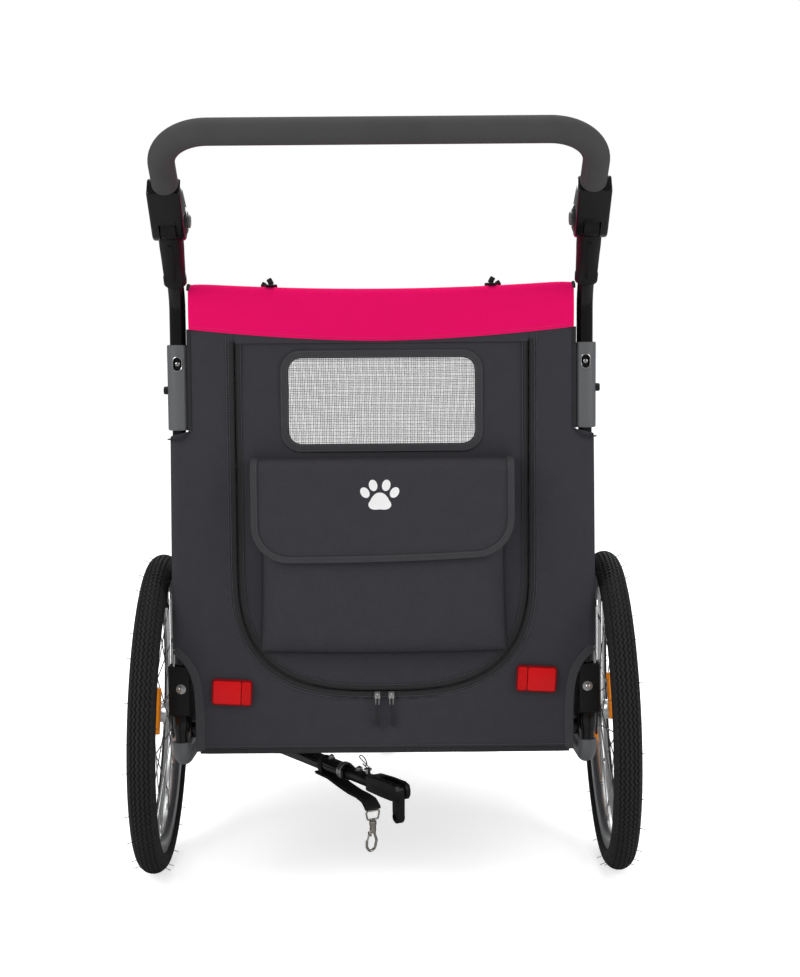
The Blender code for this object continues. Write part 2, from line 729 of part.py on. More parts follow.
def rear_cloth():
    """The rear sheet: flat between the uprights, and wrapped round each of them."""
    wrap = UPRIGHT_R + CLOTH + 0.0012
    flat_columns = (0.0, 0.11, 0.21, 0.28)
    wrap_angles = (-88, -60, -30, 0, 30, 60, 88)
    columns = len(flat_columns) + len(wrap_angles)
    rows = 4

    def shape(column, row):
        i = column - columns
        s = -1 if i < 0 else 1
        i = abs(i)
        z = HEM_Z + (SEAM_Z - GAP - HEM_Z) * row / rows
        x0 = upright_x(z)
        if i < len(flat_columns):
            return (s * flat_columns[i], REAR_Y, z)
        if i < columns:
            angle = math.radians(wrap_angles[i - len(flat_columns)])
            turn_y = REAR_Y if i == len(flat_columns) else UPRIGHT_Y + wrap * math.sin(angle)
            x = x0 - 0.004 if i == len(flat_columns) else x0 + wrap * math.cos(angle)
            return (s * x, turn_y, z)
        return (s * (x0 - 0.014), UPRIGHT_Y + wrap, z)

    panel = cloth("rear_panel", shape, 2 * columns, rows, "charcoal_cloth")
    opening = plate("door_opening", door_outline(top=SEAM_Z + 0.02), 0.02, "XZ",
                    (0, REAR_Y + 0.002, 0))
    cut(panel, opening)
    for name, s in SIDES:
        notch = [(0.2835, NOTCH_Z + 0.003), (0.300, NOTCH_Z - 0.010), (0.340, NOTCH_Z - 0.010),
                 (0.340, SEAM_Z + 0.03), (0.2835, SEAM_Z + 0.03)]
        cut(panel, plate(name + "_sleeve_notch", [(s * x, z) for x, z in notch], 0.10, "XZ",
                         (0, REAR_Y + 0.02, 0)))
        corner = [(0.340, CORNER_TOP)]
        for k in range(11):
            t = (k / 10) ** 1.5
            corner.append((CORNER_X + 0.036 * (1 - t) ** 6, CORNER_TOP - 0.165 * t))
        corner.append((0.340, CORNER_TOP - 0.165))
        cut(panel, plate(name + "_corner_cut", [(s * x, z) for x, z in corner], 0.10, "XZ",
                         (0, REAR_Y + 0.02, 0)))


def roof_cloth():
    half = CABIN_TOP_HALF + CLOTH
    runs = [(ROOF_FRONT_Y - 0.006, None), (0.220, None), (0.040, None), (REAR_Y + 0.022, None),
            (REAR_Y + 0.006, 0.003), (REAR_Y, 0.012), (REAR_Y, SEAM_Z)]
    columns = 8

    def shape(column, row):
        x = half * (2 * column / columns - 1)
        y, low = runs[row]
        if low is None:
            z = roof_z(x, y)
        elif low < 0.1:
            z = roof_z(x, y) - low
        else:
            z = low
        return (x, y, z)

    flip(cloth("roof_panel", shape, columns, len(runs) - 1, "pink_cloth"))


def front_cloth():
    heights = (HEM_Z, KNEE_Z, 0.53, 0.70, ROOF_FRONT_Z - 0.004)
    columns = 6

    def shape(column, row):
        z = heights[row]
        x = (cabin_half(z) + CLOTH) * (2 * column / columns - 1)
        return (x, front_y(z), z)

    panel = flip(cloth("front_panel", shape, columns, len(heights) - 1, "charcoal_cloth"))
    low, high = FRONT_WINDOW

    def window(name, half, shrink, depth):
        """A flat slab that lies in the front slope over the window."""
        z0, z1 = low + shrink, high - shrink
        out = SLOPE_NORMAL * depth
        a = Vector((0, front_y(z0), z0))
        b = Vector((0, front_y(z1), z1))
        back = SLOPE_NORMAL * (depth + CLOTH)
        quad = [a + out, b + out, b - back, a - back]
        return plate(name, [(p.y, p.z) for p in quad], 2 * half, "YZ", (0, 0, 0))

    cut(panel, window("front_window_cut", FRONT_WINDOW_HALF, 0.0, 0.01))
    mesh = window("front_mesh", FRONT_WINDOW_HALF - GAP, GAP, -0.0004)
    mesh.data.materials.append(material("mesh"))


def side_cloth():
    y0, y1, z0, z1 = SIDE_WINDOW
    columns_y = [REAR_Y + CLOTH + GAP, REAR_Y + 0.022, 0.02, 0.14, 0.26, 0.385]
    columns_y += [ROOF_FRONT_Y + (FRONT_Y - ROOF_FRONT_Y) * k / 5 for k in range(1, 6)]
    inset = 0.0035
    rows = 6
    for name, s in SIDES:
        def shape(column, row, s=s):
            y = columns_y[column] - (inset if columns_y[column] > ROOF_FRONT_Y else 0)
            line = ROOF_FRONT_Z - (y + inset - ROOF_FRONT_Y) * SLOPE
            top = min(roof_z(CABIN_TOP_HALF, min(y, ROOF_FRONT_Y)) - CLOTH - 0.0008, line - 0.001)
            top -= 0.013 if column == 0 else 0
            z = HEM_Z + (top - HEM_Z) * row / rows
            return (s * cabin_half(z), y, z)

        panel = cloth(name + "_side_panel", shape, len(columns_y) - 1, rows, "charcoal_cloth")
        if s < 0:
            flip(panel)
        x = s * 0.30
        wrap_space = box(name + "_wrap_space", (x - 0.05, REAR_Y - 0.02, HEM_Z - 0.02),
                         (x + 0.05, UPRIGHT_Y + UPRIGHT_R + CLOTH + 0.0040, NOTCH_Z + 0.002))
        hub_space = plate(name + "_bracket_space",
                          rounded([(-0.20, 0.15), (0.035, 0.15), (0.035, 0.300), (-0.05, 0.360),
                                   (-0.20, 0.360)], 0.02, 3), 0.10, "YZ", (x, 0, 0))
        outline = rounded(rectangle(y0, y1, z0, z1), 0.030, 4)
        cut(panel, wrap_space, hub_space,
            plate(name + "_window_cut", outline, 0.10, "YZ", (x, 0, 0)))

        def mesh_shape(column, row, s=s):
            z = z0 - 0.02 + (z1 - z0 + 0.04) * row / 4
            return (s * (cabin_half(z) - 0.0004), y0 - 0.02 + (y1 - y0 + 0.04) * column, z)

        net = cloth(name + "_side_mesh", mesh_shape, 1, 4, "mesh", 0.001)
        if s < 0:
            flip(net)
        keep = rounded(rectangle(y0 + GAP, y1 - GAP, z0 + GAP, z1 - GAP), 0.030, 4)
        boolean(net, plate(name + "_mesh_keep", keep, 0.10, "YZ", (x, 0, 0)), 'INTERSECT')


def floor():
    half = BRACKET_X - BRACKET_W / 2 - 0.003
    box("floor_mat", (-half, CROSS_REAR_Y + CROSS_R + 0.002, RAIL_Z + RAIL_R + GAP),
        (half, CROSS_FRONT_Y - HOOP_R - 0.003, RAIL_Z + RAIL_R + 0.024), "mat", bevel=0.006)


def rear_door():
    hinge = empty("door_hinge", (0, REAR_Y + CLOTH / 2, DOOR_HINGE_Z), parent=ROOT)
    mid = REAR_Y + CLOTH / 2
    # Children of the hinge are placed from it.
    to_hinge = Vector((0, -mid, -DOOR_HINGE_Z))

    door = plate("rear_door", door_outline(0.001, DOOR_HINGE_Z - GAP), CLOTH, "XZ",
                 Vector((0, mid, 0)) + to_hinge, "charcoal_cloth", hinge)
    opening = rounded(rectangle(-WINDOW_HALF, WINDOW_HALF, WINDOW_LOW, WINDOW_HIGH),
                      WINDOW_CORNER, 4)
    cut(door, plate("rear_window_cut", opening, 0.02, "XZ", Vector((0, mid, 0)) + to_hinge,
                    parent=hinge))
    net = rounded(rectangle(-WINDOW_HALF + GAP, WINDOW_HALF - GAP, WINDOW_LOW + GAP,
                            WINDOW_HIGH - GAP), WINDOW_CORNER, 4)
    plate("rear_mesh", net, 0.001, "XZ", Vector((0, mid, 0)) + to_hinge, "mesh", hinge)

    face = REAR_Y - GAP
    pocket = box("pocket", Vector((-POCKET_HALF, face - POCKET_DEPTH, POCKET_LOW)) + to_hinge,
                 Vector((POCKET_HALF, face, POCKET_HIGH)) + to_hinge, "charcoal_cloth", hinge)
    wall = CLOTH
    cut(pocket, box("pocket_space",
                    Vector((-POCKET_HALF + wall, face - POCKET_DEPTH + wall, POCKET_LOW + wall))
                    + to_hinge,
                    Vector((POCKET_HALF - wall, face - 0.0012, POCKET_HIGH + 0.02)) + to_hinge,
                    parent=hinge))

    # The flap turns on its own line at the pocket's top, against the door.
    line = Vector((0, face - 0.0016, POCKET_HIGH + 0.0030))
    flap_hinge = empty("flap_hinge", line + to_hinge, parent=hinge)
    front = face - POCKET_DEPTH - 0.0010
    outline = rounded([(-FLAP_HALF, POCKET_HIGH + 0.004 - line.z),
                       (-FLAP_HALF, FLAP_LOW - line.z),
                       (FLAP_HALF, FLAP_LOW - line.z),
                       (FLAP_HALF, POCKET_HIGH + 0.004 - line.z)], FLAP_CORNER, 5, skip=(0, 3))
    flap = plate("pocket_flap", outline, CLOTH, "XZ", (0, front - CLOTH / 2 - line.y, 0),
                 "charcoal_cloth", flap_hinge)
    unite(flap, box("flap_top", (-FLAP_HALF, front - CLOTH / 2 - line.y, -0.001),
                    (FLAP_HALF, 0.0006, 0.001), parent=flap_hinge))


def zip_sliders():
    """Two sliders, parked side by side at the bottom of the zip, each with its pull."""
    for name, s in SIDES:
        x = s * 0.0105
        face = REAR_Y - GAP
        body = box(name + "_zip_slider", (x - 0.0045, face - 0.005, DOOR_BOTTOM - 0.0125),
                   (x + 0.0045, face, DOOR_BOTTOM - 0.0015), "steel", bevel=0.001)
        pull = box(name + "_pull", (x - 0.0022, face - 0.0042, DOOR_BOTTOM - 0.055),
                   (x + 0.0022, face - 0.0018, DOOR_BOTTOM - 0.011))
        unite(body, pull)


def reflectors():
    for name, s in SIDES:
        z = 0.305 if s < 0 else 0.322
        outline = rounded(rectangle(-0.0305, 0.0305, -0.020, 0.020), 0.006, 3)
        lens = plate(name + "_rear_reflector", outline, 0.007, "XZ",
                     (s * 0.2275, REAR_Y - GAP - 0.0035, z), "red_lens")
        lens.rotation_euler.y = math.radians(3.0)


# ---- front caster ----

def caster():
    swivel = empty("caster_swivel", (0, SWIVEL_Y, 0), parent=ROOT)
    hub_centre = empty("caster_axle_line", (0, CASTER_Y - SWIVEL_Y, CASTER_R), parent=swivel)
    lay = (0, math.pi / 2, 0)

    start = CROSS_FRONT_Y + CROSS_R + GAP
    top = CROWN_Z + CROWN_H + GAP
    outline = [(start, ARM_BACK_Z[0]), (start, ARM_BACK_Z[1]), (SWIVEL_Y - 0.070, top + ARM_DEEP),
               (SWIVEL_Y + 0.024, top + ARM_DEEP), (SWIVEL_Y + 0.024, top), (SWIVEL_Y - 0.060, top),
               (start + 0.036, ARM_BACK_Z[0])]
    mount = plate("caster_mount", outline, MOUNT_W, "YZ", (0, 0, 0), "satin_black")
    cut(mount, rod("swivel_bore", (0, SWIVEL_Y, 0.20), (0, SWIVEL_Y, 0.30), SWIVEL_R + RUN_GAP))

    inside = CASTER_W / 2 + CASTER_RUN
    fork = box("caster_fork", (-inside - FORK_WALL, -0.022, CROWN_Z),
               (inside + FORK_WALL, 0.022, CROWN_Z + CROWN_H - 0.004), "satin_black", swivel)
    trail = CASTER_Y - SWIVEL_Y
    leg = [(-0.020, CROWN_Z + 0.003), (0.018, CROWN_Z + 0.003), (trail + 0.013, CASTER_R - 0.004),
           (trail, CASTER_R - 0.014), (trail - 0.013, CASTER_R - 0.004)]
    for side in (-1, 1):
        unite(fork, plate("fork_leg", leg, FORK_WALL, "YZ",
                          (side * (inside + FORK_WALL / 2), 0, 0), parent=swivel))
    unite(fork, rod("swivel_collar", (0, 0, CROWN_Z + 0.002), (0, 0, CROWN_Z + CROWN_H), 0.016,
                    sides=20, parent=swivel))
    unite(fork, rod("swivel_stem", (0, 0, CROWN_Z + 0.010), (0, 0, top + ARM_DEEP - 0.002), SWIVEL_R,
                    parent=swivel))
    axle_half = inside + FORK_WALL + 0.002
    unite(fork, rod("caster_axle", (-axle_half, 0, 0), (axle_half, 0, 0), CASTER_AXLE_R,
                    sides=12,
                    parent=hub_centre))

    half = CASTER_W / 2
    tread = CASTER_R
    seat = CASTER_SEAT
    bead = half * CASTER_BEAD
    turned("caster_tyre",
           [(tread - 0.007, half), (tread - 0.0015, half * 0.5), (tread, 0),
            (tread - 0.0015, -half * 0.5), (tread - 0.007, -half), (seat + GAP, -bead),
            (seat + GAP, bead)], "tyre", 28, turn=lay, parent=hub_centre)
    hole = CASTER_AXLE_R + RUN_GAP
    turned("caster_rim",
           [(hole, half + 0.003), (0.013, half + 0.003), (0.015, 0.007), (seat - 0.012, 0.005),
            (seat - 0.005, bead), (seat, bead), (seat, -bead), (seat - 0.005, -bead),
            (seat - 0.012, -0.005), (0.015, -0.007),
            (0.013, -half - 0.003), (hole, -half - 0.003)], "grey_plastic", 28, turn=lay,
           parent=hub_centre)


# ---- tow arm ----

def tow_arm():
    """The arm that hitches to a bicycle, stowed crosswise under the floor."""
    pivot = empty("tow_arm_pivot", ARM_PIVOT, (0, 0, ARM_TURN), ROOT)
    rail_bottom = RAIL_Z - RAIL_R

    rail = as_mesh(bpy.data.objects["left_side_rail"])
    ear_x, ear_y = EAR_HALF
    mount = box("tow_arm_mount",
                (ARM_PIVOT.x - ear_x, ARM_PIVOT.y - ear_y, ARM_PIVOT.z + ARM_R + 2 * GAP),
                (ARM_PIVOT.x + ear_x, ARM_PIVOT.y + ear_y, rail_bottom + 0.004), bevel=0.002)
    unite(rail, mount)
    cut(rail, rod("arm_pin_hole", (ARM_PIVOT.x, ARM_PIVOT.y, 0.10),
                  (ARM_PIVOT.x, ARM_PIVOT.y, 0.182), ARM_PIN_R + RUN_GAP))
    arm = rod("tow_arm", (-0.018, 0, 0), (TUBE_END, 0, 0), ARM_R, "gloss_black", 14, pivot)
    unite(arm, rod("arm_pin", (0, 0, 0), (0, 0, 0.034), ARM_PIN_R, sides=12, parent=pivot))

    head = rod("hitch_head", (TUBE_END + GAP, 0, 0), (HEAD_START + 0.004, 0, 0), SHANK_R,
               "satin_black", 14, pivot)
    block = box("head_block", (HEAD_START, -HEAD_HALF, -0.013),
                (ARM_LEN + 0.007, HEAD_HALF, HEAD_HALF), parent=pivot, bevel=0.005)
    slot = box("head_slot", (HEAD_START + 0.028, -HEAD_SLOT, -0.03),
               (ARM_LEN + 0.03, HEAD_SLOT, 0.03), parent=pivot)
    unite(head, block)
    cut(head, slot)
    cut(head, rod("pin_hole", (PIN_AT, 0, -0.03), (PIN_AT, 0, 0.03), PIN_R + RUN_GAP, sides=12,
                  parent=pivot))
    hinge_x = ARM_LEN - TONGUE_BACK
    cut(head, rod("tongue_hole", (hinge_x, -0.03, TONGUE_RISE), (hinge_x, 0.03, TONGUE_RISE),
                  TONGUE_PIN_R + RUN_GAP, sides=12, parent=pivot))

    rod("hitch_pin", (PIN_AT, 0, -0.0155), (PIN_AT, 0, 0.0185), PIN_R, "steel", 12, pivot)

    tongue = empty("hitch_tongue_pivot", (hinge_x, 0, TONGUE_RISE), parent=pivot)
    lobe = []
    for k in range(9):
        angle = math.pi * k / 8
        lobe.append((0.0105 * math.cos(angle), 0.0105 * math.sin(angle)))
    for k in range(9):
        angle = math.pi + math.pi * k / 8
        lobe.append((0.0095 * math.cos(angle), -TONGUE_DROP + 0.0095 * math.sin(angle)))
    plate_piece = plate("hitch_tongue", lobe, 0.0110, "XZ", (0, 0, 0), "satin_black", tongue)
    cut(plate_piece, rod("wheel_nut_hole", (0, -0.02, -TONGUE_DROP), (0, 0.02, -TONGUE_DROP), 0.0052,
                         sides=12, parent=tongue))
    unite(plate_piece, rod("tongue_pin", (0, -0.0140, 0), (0, 0.0140, 0), TONGUE_PIN_R,
                           sides=12, parent=tongue))


def safety_strap():
    """Webbing sewn round the arm, with a snap hook hanging from its loop."""
    pivot = bpy.data.objects["tow_arm_pivot"]
    lay = [(ARM_LEN - 0.240, -0.0150), (ARM_LEN - 0.165, -0.0215), (ARM_LEN - 0.110, -0.0275),
           (ARM_LEN - 0.090, -0.0300), (ARM_LEN - 0.078, -0.0400), (ARM_LEN - 0.084, -0.0420),
           (ARM_LEN - 0.094, -0.0325), (ARM_LEN - 0.112, -0.0300), (ARM_LEN - 0.166, -0.0240),
           (ARM_LEN - 0.240, -0.0170)]
    plate("safety_strap", lay, 0.025, "XZ", (0, 0, 0), "webbing", pivot)

    swing = empty("hook_swing", (ARM_LEN - 0.081, 0, -0.0450), parent=pivot)
    hook = tube("snap_hook", rounded([(0, -0.012, -0.001), (0, 0.012, -0.001), (0, 0.009, -0.014),
                                      (0, 0.002, -0.018), (0, 0.002, -0.034)], 0.003, 2,
                                     closed=False), 0.0016, "steel", 8, swing)
    hook = as_mesh(hook)
    hook.data.materials.append(material("steel"))
    body = rod("hook_body", (0, 0.002, -0.016), (0, 0.002, -0.036), 0.0050, sides=12, parent=swing,
               tip=0.0042)
    bend = as_mesh(tube("hook_bend", rounded([(0, 0.002, -0.034), (0, 0.001, -0.050),
                                              (0, -0.006, -0.060), (0, -0.013, -0.052),
                                              (0, -0.011, -0.036), (0, -0.002, -0.030)], 0.004, 3,
                                             closed=False), 0.0021, "steel", 8, swing))
    unite(hook, body, bend)


def build():
    centres = {name: wheel_frame(name, s) for name, s in SIDES}
    frame_tubes()
    axle_brackets(centres)
    axles(centres)
    sleeves_and_stems()
    pivots_and_handle()
    for name, s in SIDES:
        wheel(name, centres[name])
        hub(name, s, centres[name])
    rear_cloth()
    roof_cloth()
    front_cloth()
    side_cloth()
    floor()
    rear_door()
    zip_sliders()
    reflectors()
    caster()
    tow_arm()
    safety_strap()


build()
bpy.context.view_layer.update()
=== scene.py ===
# Pet stroller and bicycle trailer: the cloth, foam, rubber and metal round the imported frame.
import json
import math

import bmesh
import bpy
import numpy as np
from mathutils import Matrix, Vector, noise


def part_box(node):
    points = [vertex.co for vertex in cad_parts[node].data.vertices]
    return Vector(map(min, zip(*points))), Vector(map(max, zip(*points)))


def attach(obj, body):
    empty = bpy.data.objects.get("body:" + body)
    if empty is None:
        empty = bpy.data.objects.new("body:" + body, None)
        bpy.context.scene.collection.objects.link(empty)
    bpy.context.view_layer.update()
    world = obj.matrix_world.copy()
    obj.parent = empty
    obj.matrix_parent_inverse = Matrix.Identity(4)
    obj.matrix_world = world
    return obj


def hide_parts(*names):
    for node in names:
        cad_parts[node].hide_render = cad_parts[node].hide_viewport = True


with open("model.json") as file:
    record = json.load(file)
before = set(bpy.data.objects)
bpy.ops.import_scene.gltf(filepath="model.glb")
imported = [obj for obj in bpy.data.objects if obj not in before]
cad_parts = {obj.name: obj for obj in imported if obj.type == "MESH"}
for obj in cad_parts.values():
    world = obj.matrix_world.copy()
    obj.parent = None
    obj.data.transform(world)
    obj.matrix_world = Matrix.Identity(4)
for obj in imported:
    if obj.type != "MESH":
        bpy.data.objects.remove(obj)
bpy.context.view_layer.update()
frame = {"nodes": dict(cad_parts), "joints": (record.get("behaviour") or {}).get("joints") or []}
joints = {j["name"]: j for j in frame["joints"]}


def lowOf(node):
    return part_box(node)[0]


def highOf(node):
    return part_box(node)[1]


def midOf(node):
    return (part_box(node)[0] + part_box(node)[1]) / 2


axleY = midOf("left_tyre").y


def at(x, y, z):
    # a place measured from the middle of the wheels' axle line, on the ground
    return Vector((x, axleY + y, z))


sides = (("left", -1), ("right", 1))
print("frame loaded:", len(frame["nodes"]), "nodes")


# ---------- meshes ----------

def piece(name, mesh, body, material=None, replaces=(), slot=None, smooth=True):
    obj = bpy.data.objects.new(name, mesh)
    bpy.context.scene.collection.objects.link(obj)
    if material:
        mesh.materials.clear()
        mesh.materials.append(material)
    if smooth:
        mesh.shade_smooth()
        mesh.set_sharp_from_angle(angle=math.radians(38))
    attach(obj, body)
    if replaces:
        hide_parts(*replaces)
    return obj


def meshFrom(name, points, faces):
    mesh = bpy.data.meshes.new(name)
    mesh.from_pydata([tuple(p) for p in points], [], faces)
    mesh.update()
    return mesh


def fromBmesh(name, bm):
    mesh = bpy.data.meshes.new(name)
    bm.to_mesh(mesh)
    bm.free()
    return mesh


def tidied(mesh, merge=0.00001):
    # doubles merged and every face turned outwards
    bm = bmesh.new()
    bm.from_mesh(mesh)
    bmesh.ops.remove_doubles(bm, verts=bm.verts, dist=merge)
    bmesh.ops.recalc_face_normals(bm, faces=bm.faces)
    bm.to_mesh(mesh)
    bm.free()
    return mesh


def joined(name, meshes):
    bm = bmesh.new()
    for mesh in meshes:
        bm.from_mesh(mesh)
    return fromBmesh(name, bm)


def withModifiers(mesh, *steps):
    # the mesh after the given modifiers, each (kind, {setting: value})
    obj = bpy.data.objects.new("work", mesh)
    bpy.context.scene.collection.objects.link(obj)
    for kind, settings in steps:
        mod = obj.modifiers.new(kind.lower(), kind)
        for key, value in settings.items():
            setattr(mod, key, value)
    graph = bpy.context.evaluated_depsgraph_get()
    made = bpy.data.meshes.new_from_object(obj.evaluated_get(graph))
    bpy.data.objects.remove(obj)
    return made


def gridMesh(name, shape, columns, rows, closed=False):
    # shape(u, v) gives the point, with u and v from 0 to 1
    points = [shape(i / columns, j / rows) for j in range(rows + 1)
              for i in range(columns if closed else columns + 1)]
    width = columns if closed else columns + 1
    faces = []
    for j in range(rows):
        for i in range(columns):
            a = j * width + i
            b = j * width + (i + 1) % width
            faces.append((a, b, b + width, a + width))
    return meshFrom(name, points, faces)


def facing(mesh, direction):
    # the sheet's faces turned so that most of them look along the direction
    total = Vector()
    for polygon in mesh.polygons:
        total += polygon.normal * polygon.area
    if total.dot(Vector(direction)) < 0:
        mesh.flip_normals()
    return mesh


def clothUv(mesh):
    # metric coordinates on the cloth, read from the plane each face lies closest to
    layer = mesh.uv_layers.new(name="cloth")
    spots = np.array([v.co for v in mesh.vertices])
    for polygon in mesh.polygons:
        n = [abs(c) for c in polygon.normal]
        a, b = ((1, 2), (0, 2), (0, 1))[n.index(max(n))]
        for loop in polygon.loop_indices:
            spot = spots[mesh.loops[loop].vertex_index]
            layer.data[loop].uv = (spot[a], spot[b])
    return mesh


def thick(mesh, thickness):
    return withModifiers(mesh, ("SOLIDIFY", {"thickness": thickness, "offset": -1.0}))


# ---------- outlines and paths ----------

def arcCorners(points, radius, steps=8, closed=True, keep=()):
    # each corner becomes an arc; corners named in keep stay sharp
    pts = [Vector(p) for p in points]
    out = []
    for i, p in enumerate(pts):
        if i in keep or (not closed and i in (0, len(pts) - 1)):
            out.append(p)
            continue
        a = (pts[i - 1] - p).normalized()
        b = (pts[(i + 1) % len(pts)] - p).normalized()
        half = a.angle(b) / 2
        if half > math.radians(89.5):
            out.append(p)
            continue
        centre = p + (a + b).normalized() * (radius / math.sin(half))
        start = p + a * (radius / math.tan(half)) - centre
        end = p + b * (radius / math.tan(half)) - centre
        turn = start.angle(end)
        for k in range(steps + 1):
            t = k / steps
            out.append(centre + (start * math.sin((1 - t) * turn)
                                 + end * math.sin(t * turn)) / math.sin(turn))
    return out


def spaced(path, count):
    # count + 1 points evenly spread along a path of straight runs
    pts = np.array([tuple(p) for p in path], float)
    run = np.concatenate([[0], np.cumsum(np.linalg.norm(np.diff(pts, axis=0), axis=1))])
    wanted = np.linspace(0, run[-1], count + 1)
    kind = Vector if pts.shape[1] == 3 else tuple
    return [kind([np.interp(w, run, pts[:, k]) for k in range(pts.shape[1])]) for w in wanted]


def lengthOf(path):
    return sum((Vector(b) - Vector(a)).length for a, b in zip(path, path[1:]))


def evenly(path, step):
    return spaced(path, max(2, round(lengthOf(path) / step)))


def tangentAt(pts, i, closed):
    if closed:
        return (pts[(i + 1) % len(pts)] - pts[i - 1]).normalized()
    return (pts[min(i + 1, len(pts) - 1)] - pts[max(i - 1, 0)]).normalized()


def loftFaces(n, m, closed):
    # quads between n rings of m points, with caps unless the rings close on themselves
    faces = []
    for i in range(n if closed else n - 1):
        for k in range(m):
            a, b = i * m + k, i * m + (k + 1) % m
            c, d = ((i + 1) % n) * m + (k + 1) % m, ((i + 1) % n) * m + k
            faces.append((a, b, c, d))
    if not closed:
        faces.append(tuple(range(m)))
        faces.append(tuple((n - 1) * m + k for k in range(m)))
    return faces


def sweep(name, path, section, normals, closed=False):
    # section points are (along side, along normal); side is tangent x normal
    pts = [Vector(p) for p in path]
    n = len(pts)
    verts = []
    for i, p in enumerate(pts):
        tangent = tangentAt(pts, i, closed)
        up = Vector(normals[i]) if isinstance(normals, list) else Vector(normals)
        up = (up - tangent * up.dot(tangent)).normalized()
        side = tangent.cross(up)
        verts += [p + side * a + up * b for a, b in section]
    return tidied(meshFrom(name, verts, loftFaces(n, len(section), closed)))


def bandSection(width, height, lip=0.3):
    # a soft strip's section, flat below and crowned above
    w, h = width / 2, height
    return [(-w, 0), (-w, h * lip), (-w * 0.86, h * 0.86), (-w * 0.4, h), (w * 0.4, h),
            (w * 0.86, h * 0.86), (w, h * lip), (w, 0)]


def ringSection(radius, count=20):
    return [(radius * math.cos(2 * math.pi * k / count), radius * math.sin(2 * math.pi * k / count))
            for k in range(count)]


def tubeMesh(name, path, radius, count=24, normal=(0, 0, 1), closed=False, radii=None):
    pts = [Vector(p) for p in path]
    n = len(pts)
    up = Vector(normal)
    verts = []
    for i, p in enumerate(pts):
        tangent = tangentAt(pts, i, closed)
        up = (up - tangent * up.dot(tangent)).normalized()
        side = tangent.cross(up)
        size = radii[i] if radii else radius
        verts += [p + side * (a * size) + up * (b * size) for a, b in ringSection(1.0, count)]
    return tidied(meshFrom(name, verts, loftFaces(n, count, closed)))


def spun(name, profile, place, steps=48, loop=False):
    # (radius, height) points spun about the Z axis of the matrix; poles and seams are closed
    verts = []
    for k in range(steps):
        a = 2 * math.pi * k / steps
        verts += [place @ Vector((r * math.cos(a), r * math.sin(a), h)) for r, h in profile]
    m = len(profile)
    faces = []
    for k in range(steps):
        for i in range(m if loop else m - 1):
            j = (i + 1) % m
            a, b = k * m + i, k * m + j
            c, d = ((k + 1) % steps) * m + j, ((k + 1) % steps) * m + i
            faces.append((a, b, c, d))
    mesh = meshFrom(name, verts, faces)
    bm = bmesh.new()
    bm.from_mesh(mesh)
    bmesh.ops.remove_doubles(bm, verts=bm.verts, dist=0.000002)
    bmesh.ops.dissolve_degenerate(bm, edges=bm.edges, dist=0.000001)
    bmesh.ops.recalc_face_normals(bm, faces=bm.faces)
    bm.to_mesh(mesh)
    bm.free()
    return mesh


def slab(name, outline, thickness, place, bevel=0.0, segments=2):
    # a flat outline in the matrix's x, y with its thickness about z, edges rounded
    bm = bmesh.new()
    verts = [bm.verts.new((p[0], p[1], -thickness / 2)) for p in outline]
    face = bm.faces.new(verts)
    made = bmesh.ops.extrude_face_region(bm, geom=[face])
    moved = [g for g in made["geom"] if isinstance(g, bmesh.types.BMVert)]
    bmesh.ops.translate(bm, vec=(0, 0, thickness), verts=moved)
    bmesh.ops.recalc_face_normals(bm, faces=bm.faces)
    if bevel:
        rims = [e for e in bm.edges if len(e.link_faces) == 2
                and e.calc_face_angle(0) > math.radians(50)]
        bmesh.ops.bevel(bm, geom=rims, offset=bevel, segments=segments, affect='EDGES',
                        profile=0.5, clamp_overlap=True)
    bmesh.ops.transform(bm, matrix=place, verts=bm.verts)
    bmesh.ops.recalc_face_normals(bm, faces=bm.faces)
    return fromBmesh(name, bm)


def block(name, low, high, place=Matrix.Identity(4), bevel=0.001, segments=2):
    low, high = Vector(low), Vector(high)
    mid = (low + high) / 2
    w, h, d = high - low
    outline = [(-w / 2, -h / 2), (w / 2, -h / 2), (w / 2, h / 2), (-w / 2, h / 2)]
    return slab(name, outline, d, place @ Matrix.Translation(mid), bevel, segments)


def carved(mesh, *cutters, operation='DIFFERENCE'):
    # the mesh after a boolean with each closed cutter mesh
    for cutter in cutters:
        other = bpy.data.objects.new("cutter", cutter)
        bpy.context.scene.collection.objects.link(other)
        mesh = withModifiers(mesh, ("BOOLEAN", {"operation": operation, "object": other,
                                                "solver": 'EXACT'}))
        bpy.data.objects.remove(other)
    return mesh


def frameOf(origin, along, up=(0, 0, 1)):
    # a matrix whose Z runs along a direction and whose Y leans towards up
    z = Vector(along).normalized()
    y = Vector(up) - z * z.dot(Vector(up))
    if y.length < 1e-6:
        y = Vector((0, 1, 0)) - z * z.y
    y.normalize()
    x = y.cross(z)
    made = Matrix((x, y, z)).transposed().to_4x4()
    made.translation = Vector(origin)
    return made


xzPlane = Matrix(((1, 0, 0, 0), (0, 0, -1, 0), (0, 1, 0, 0), (0, 0, 0, 1)))   # outline in x, z
yzPlane = Matrix(((0, 0, 1, 0), (1, 0, 0, 0), (0, 1, 0, 0), (0, 0, 0, 1)))    # outline in y, z


# ---------- shader groups ----------

def addNode(tree, kind, settings=(), **inputs):
    node = tree.nodes.new(kind)
    for key, value in dict(settings).items():
        setattr(node, key, value)
    for key, value in inputs.items():
        node.inputs[key].default_value = value
    return node


def mathNode(tree, operation, a, b=None):
    node = tree.nodes.new("ShaderNodeMath")
    node.operation = operation
    for slotIndex, value in enumerate((a, b)):
        if value is None:
            continue
        if isinstance(value, (int, float)):
            node.inputs[slotIndex].default_value = value
        else:
            tree.links.new(value, node.inputs[slotIndex])
    return node.outputs[0]


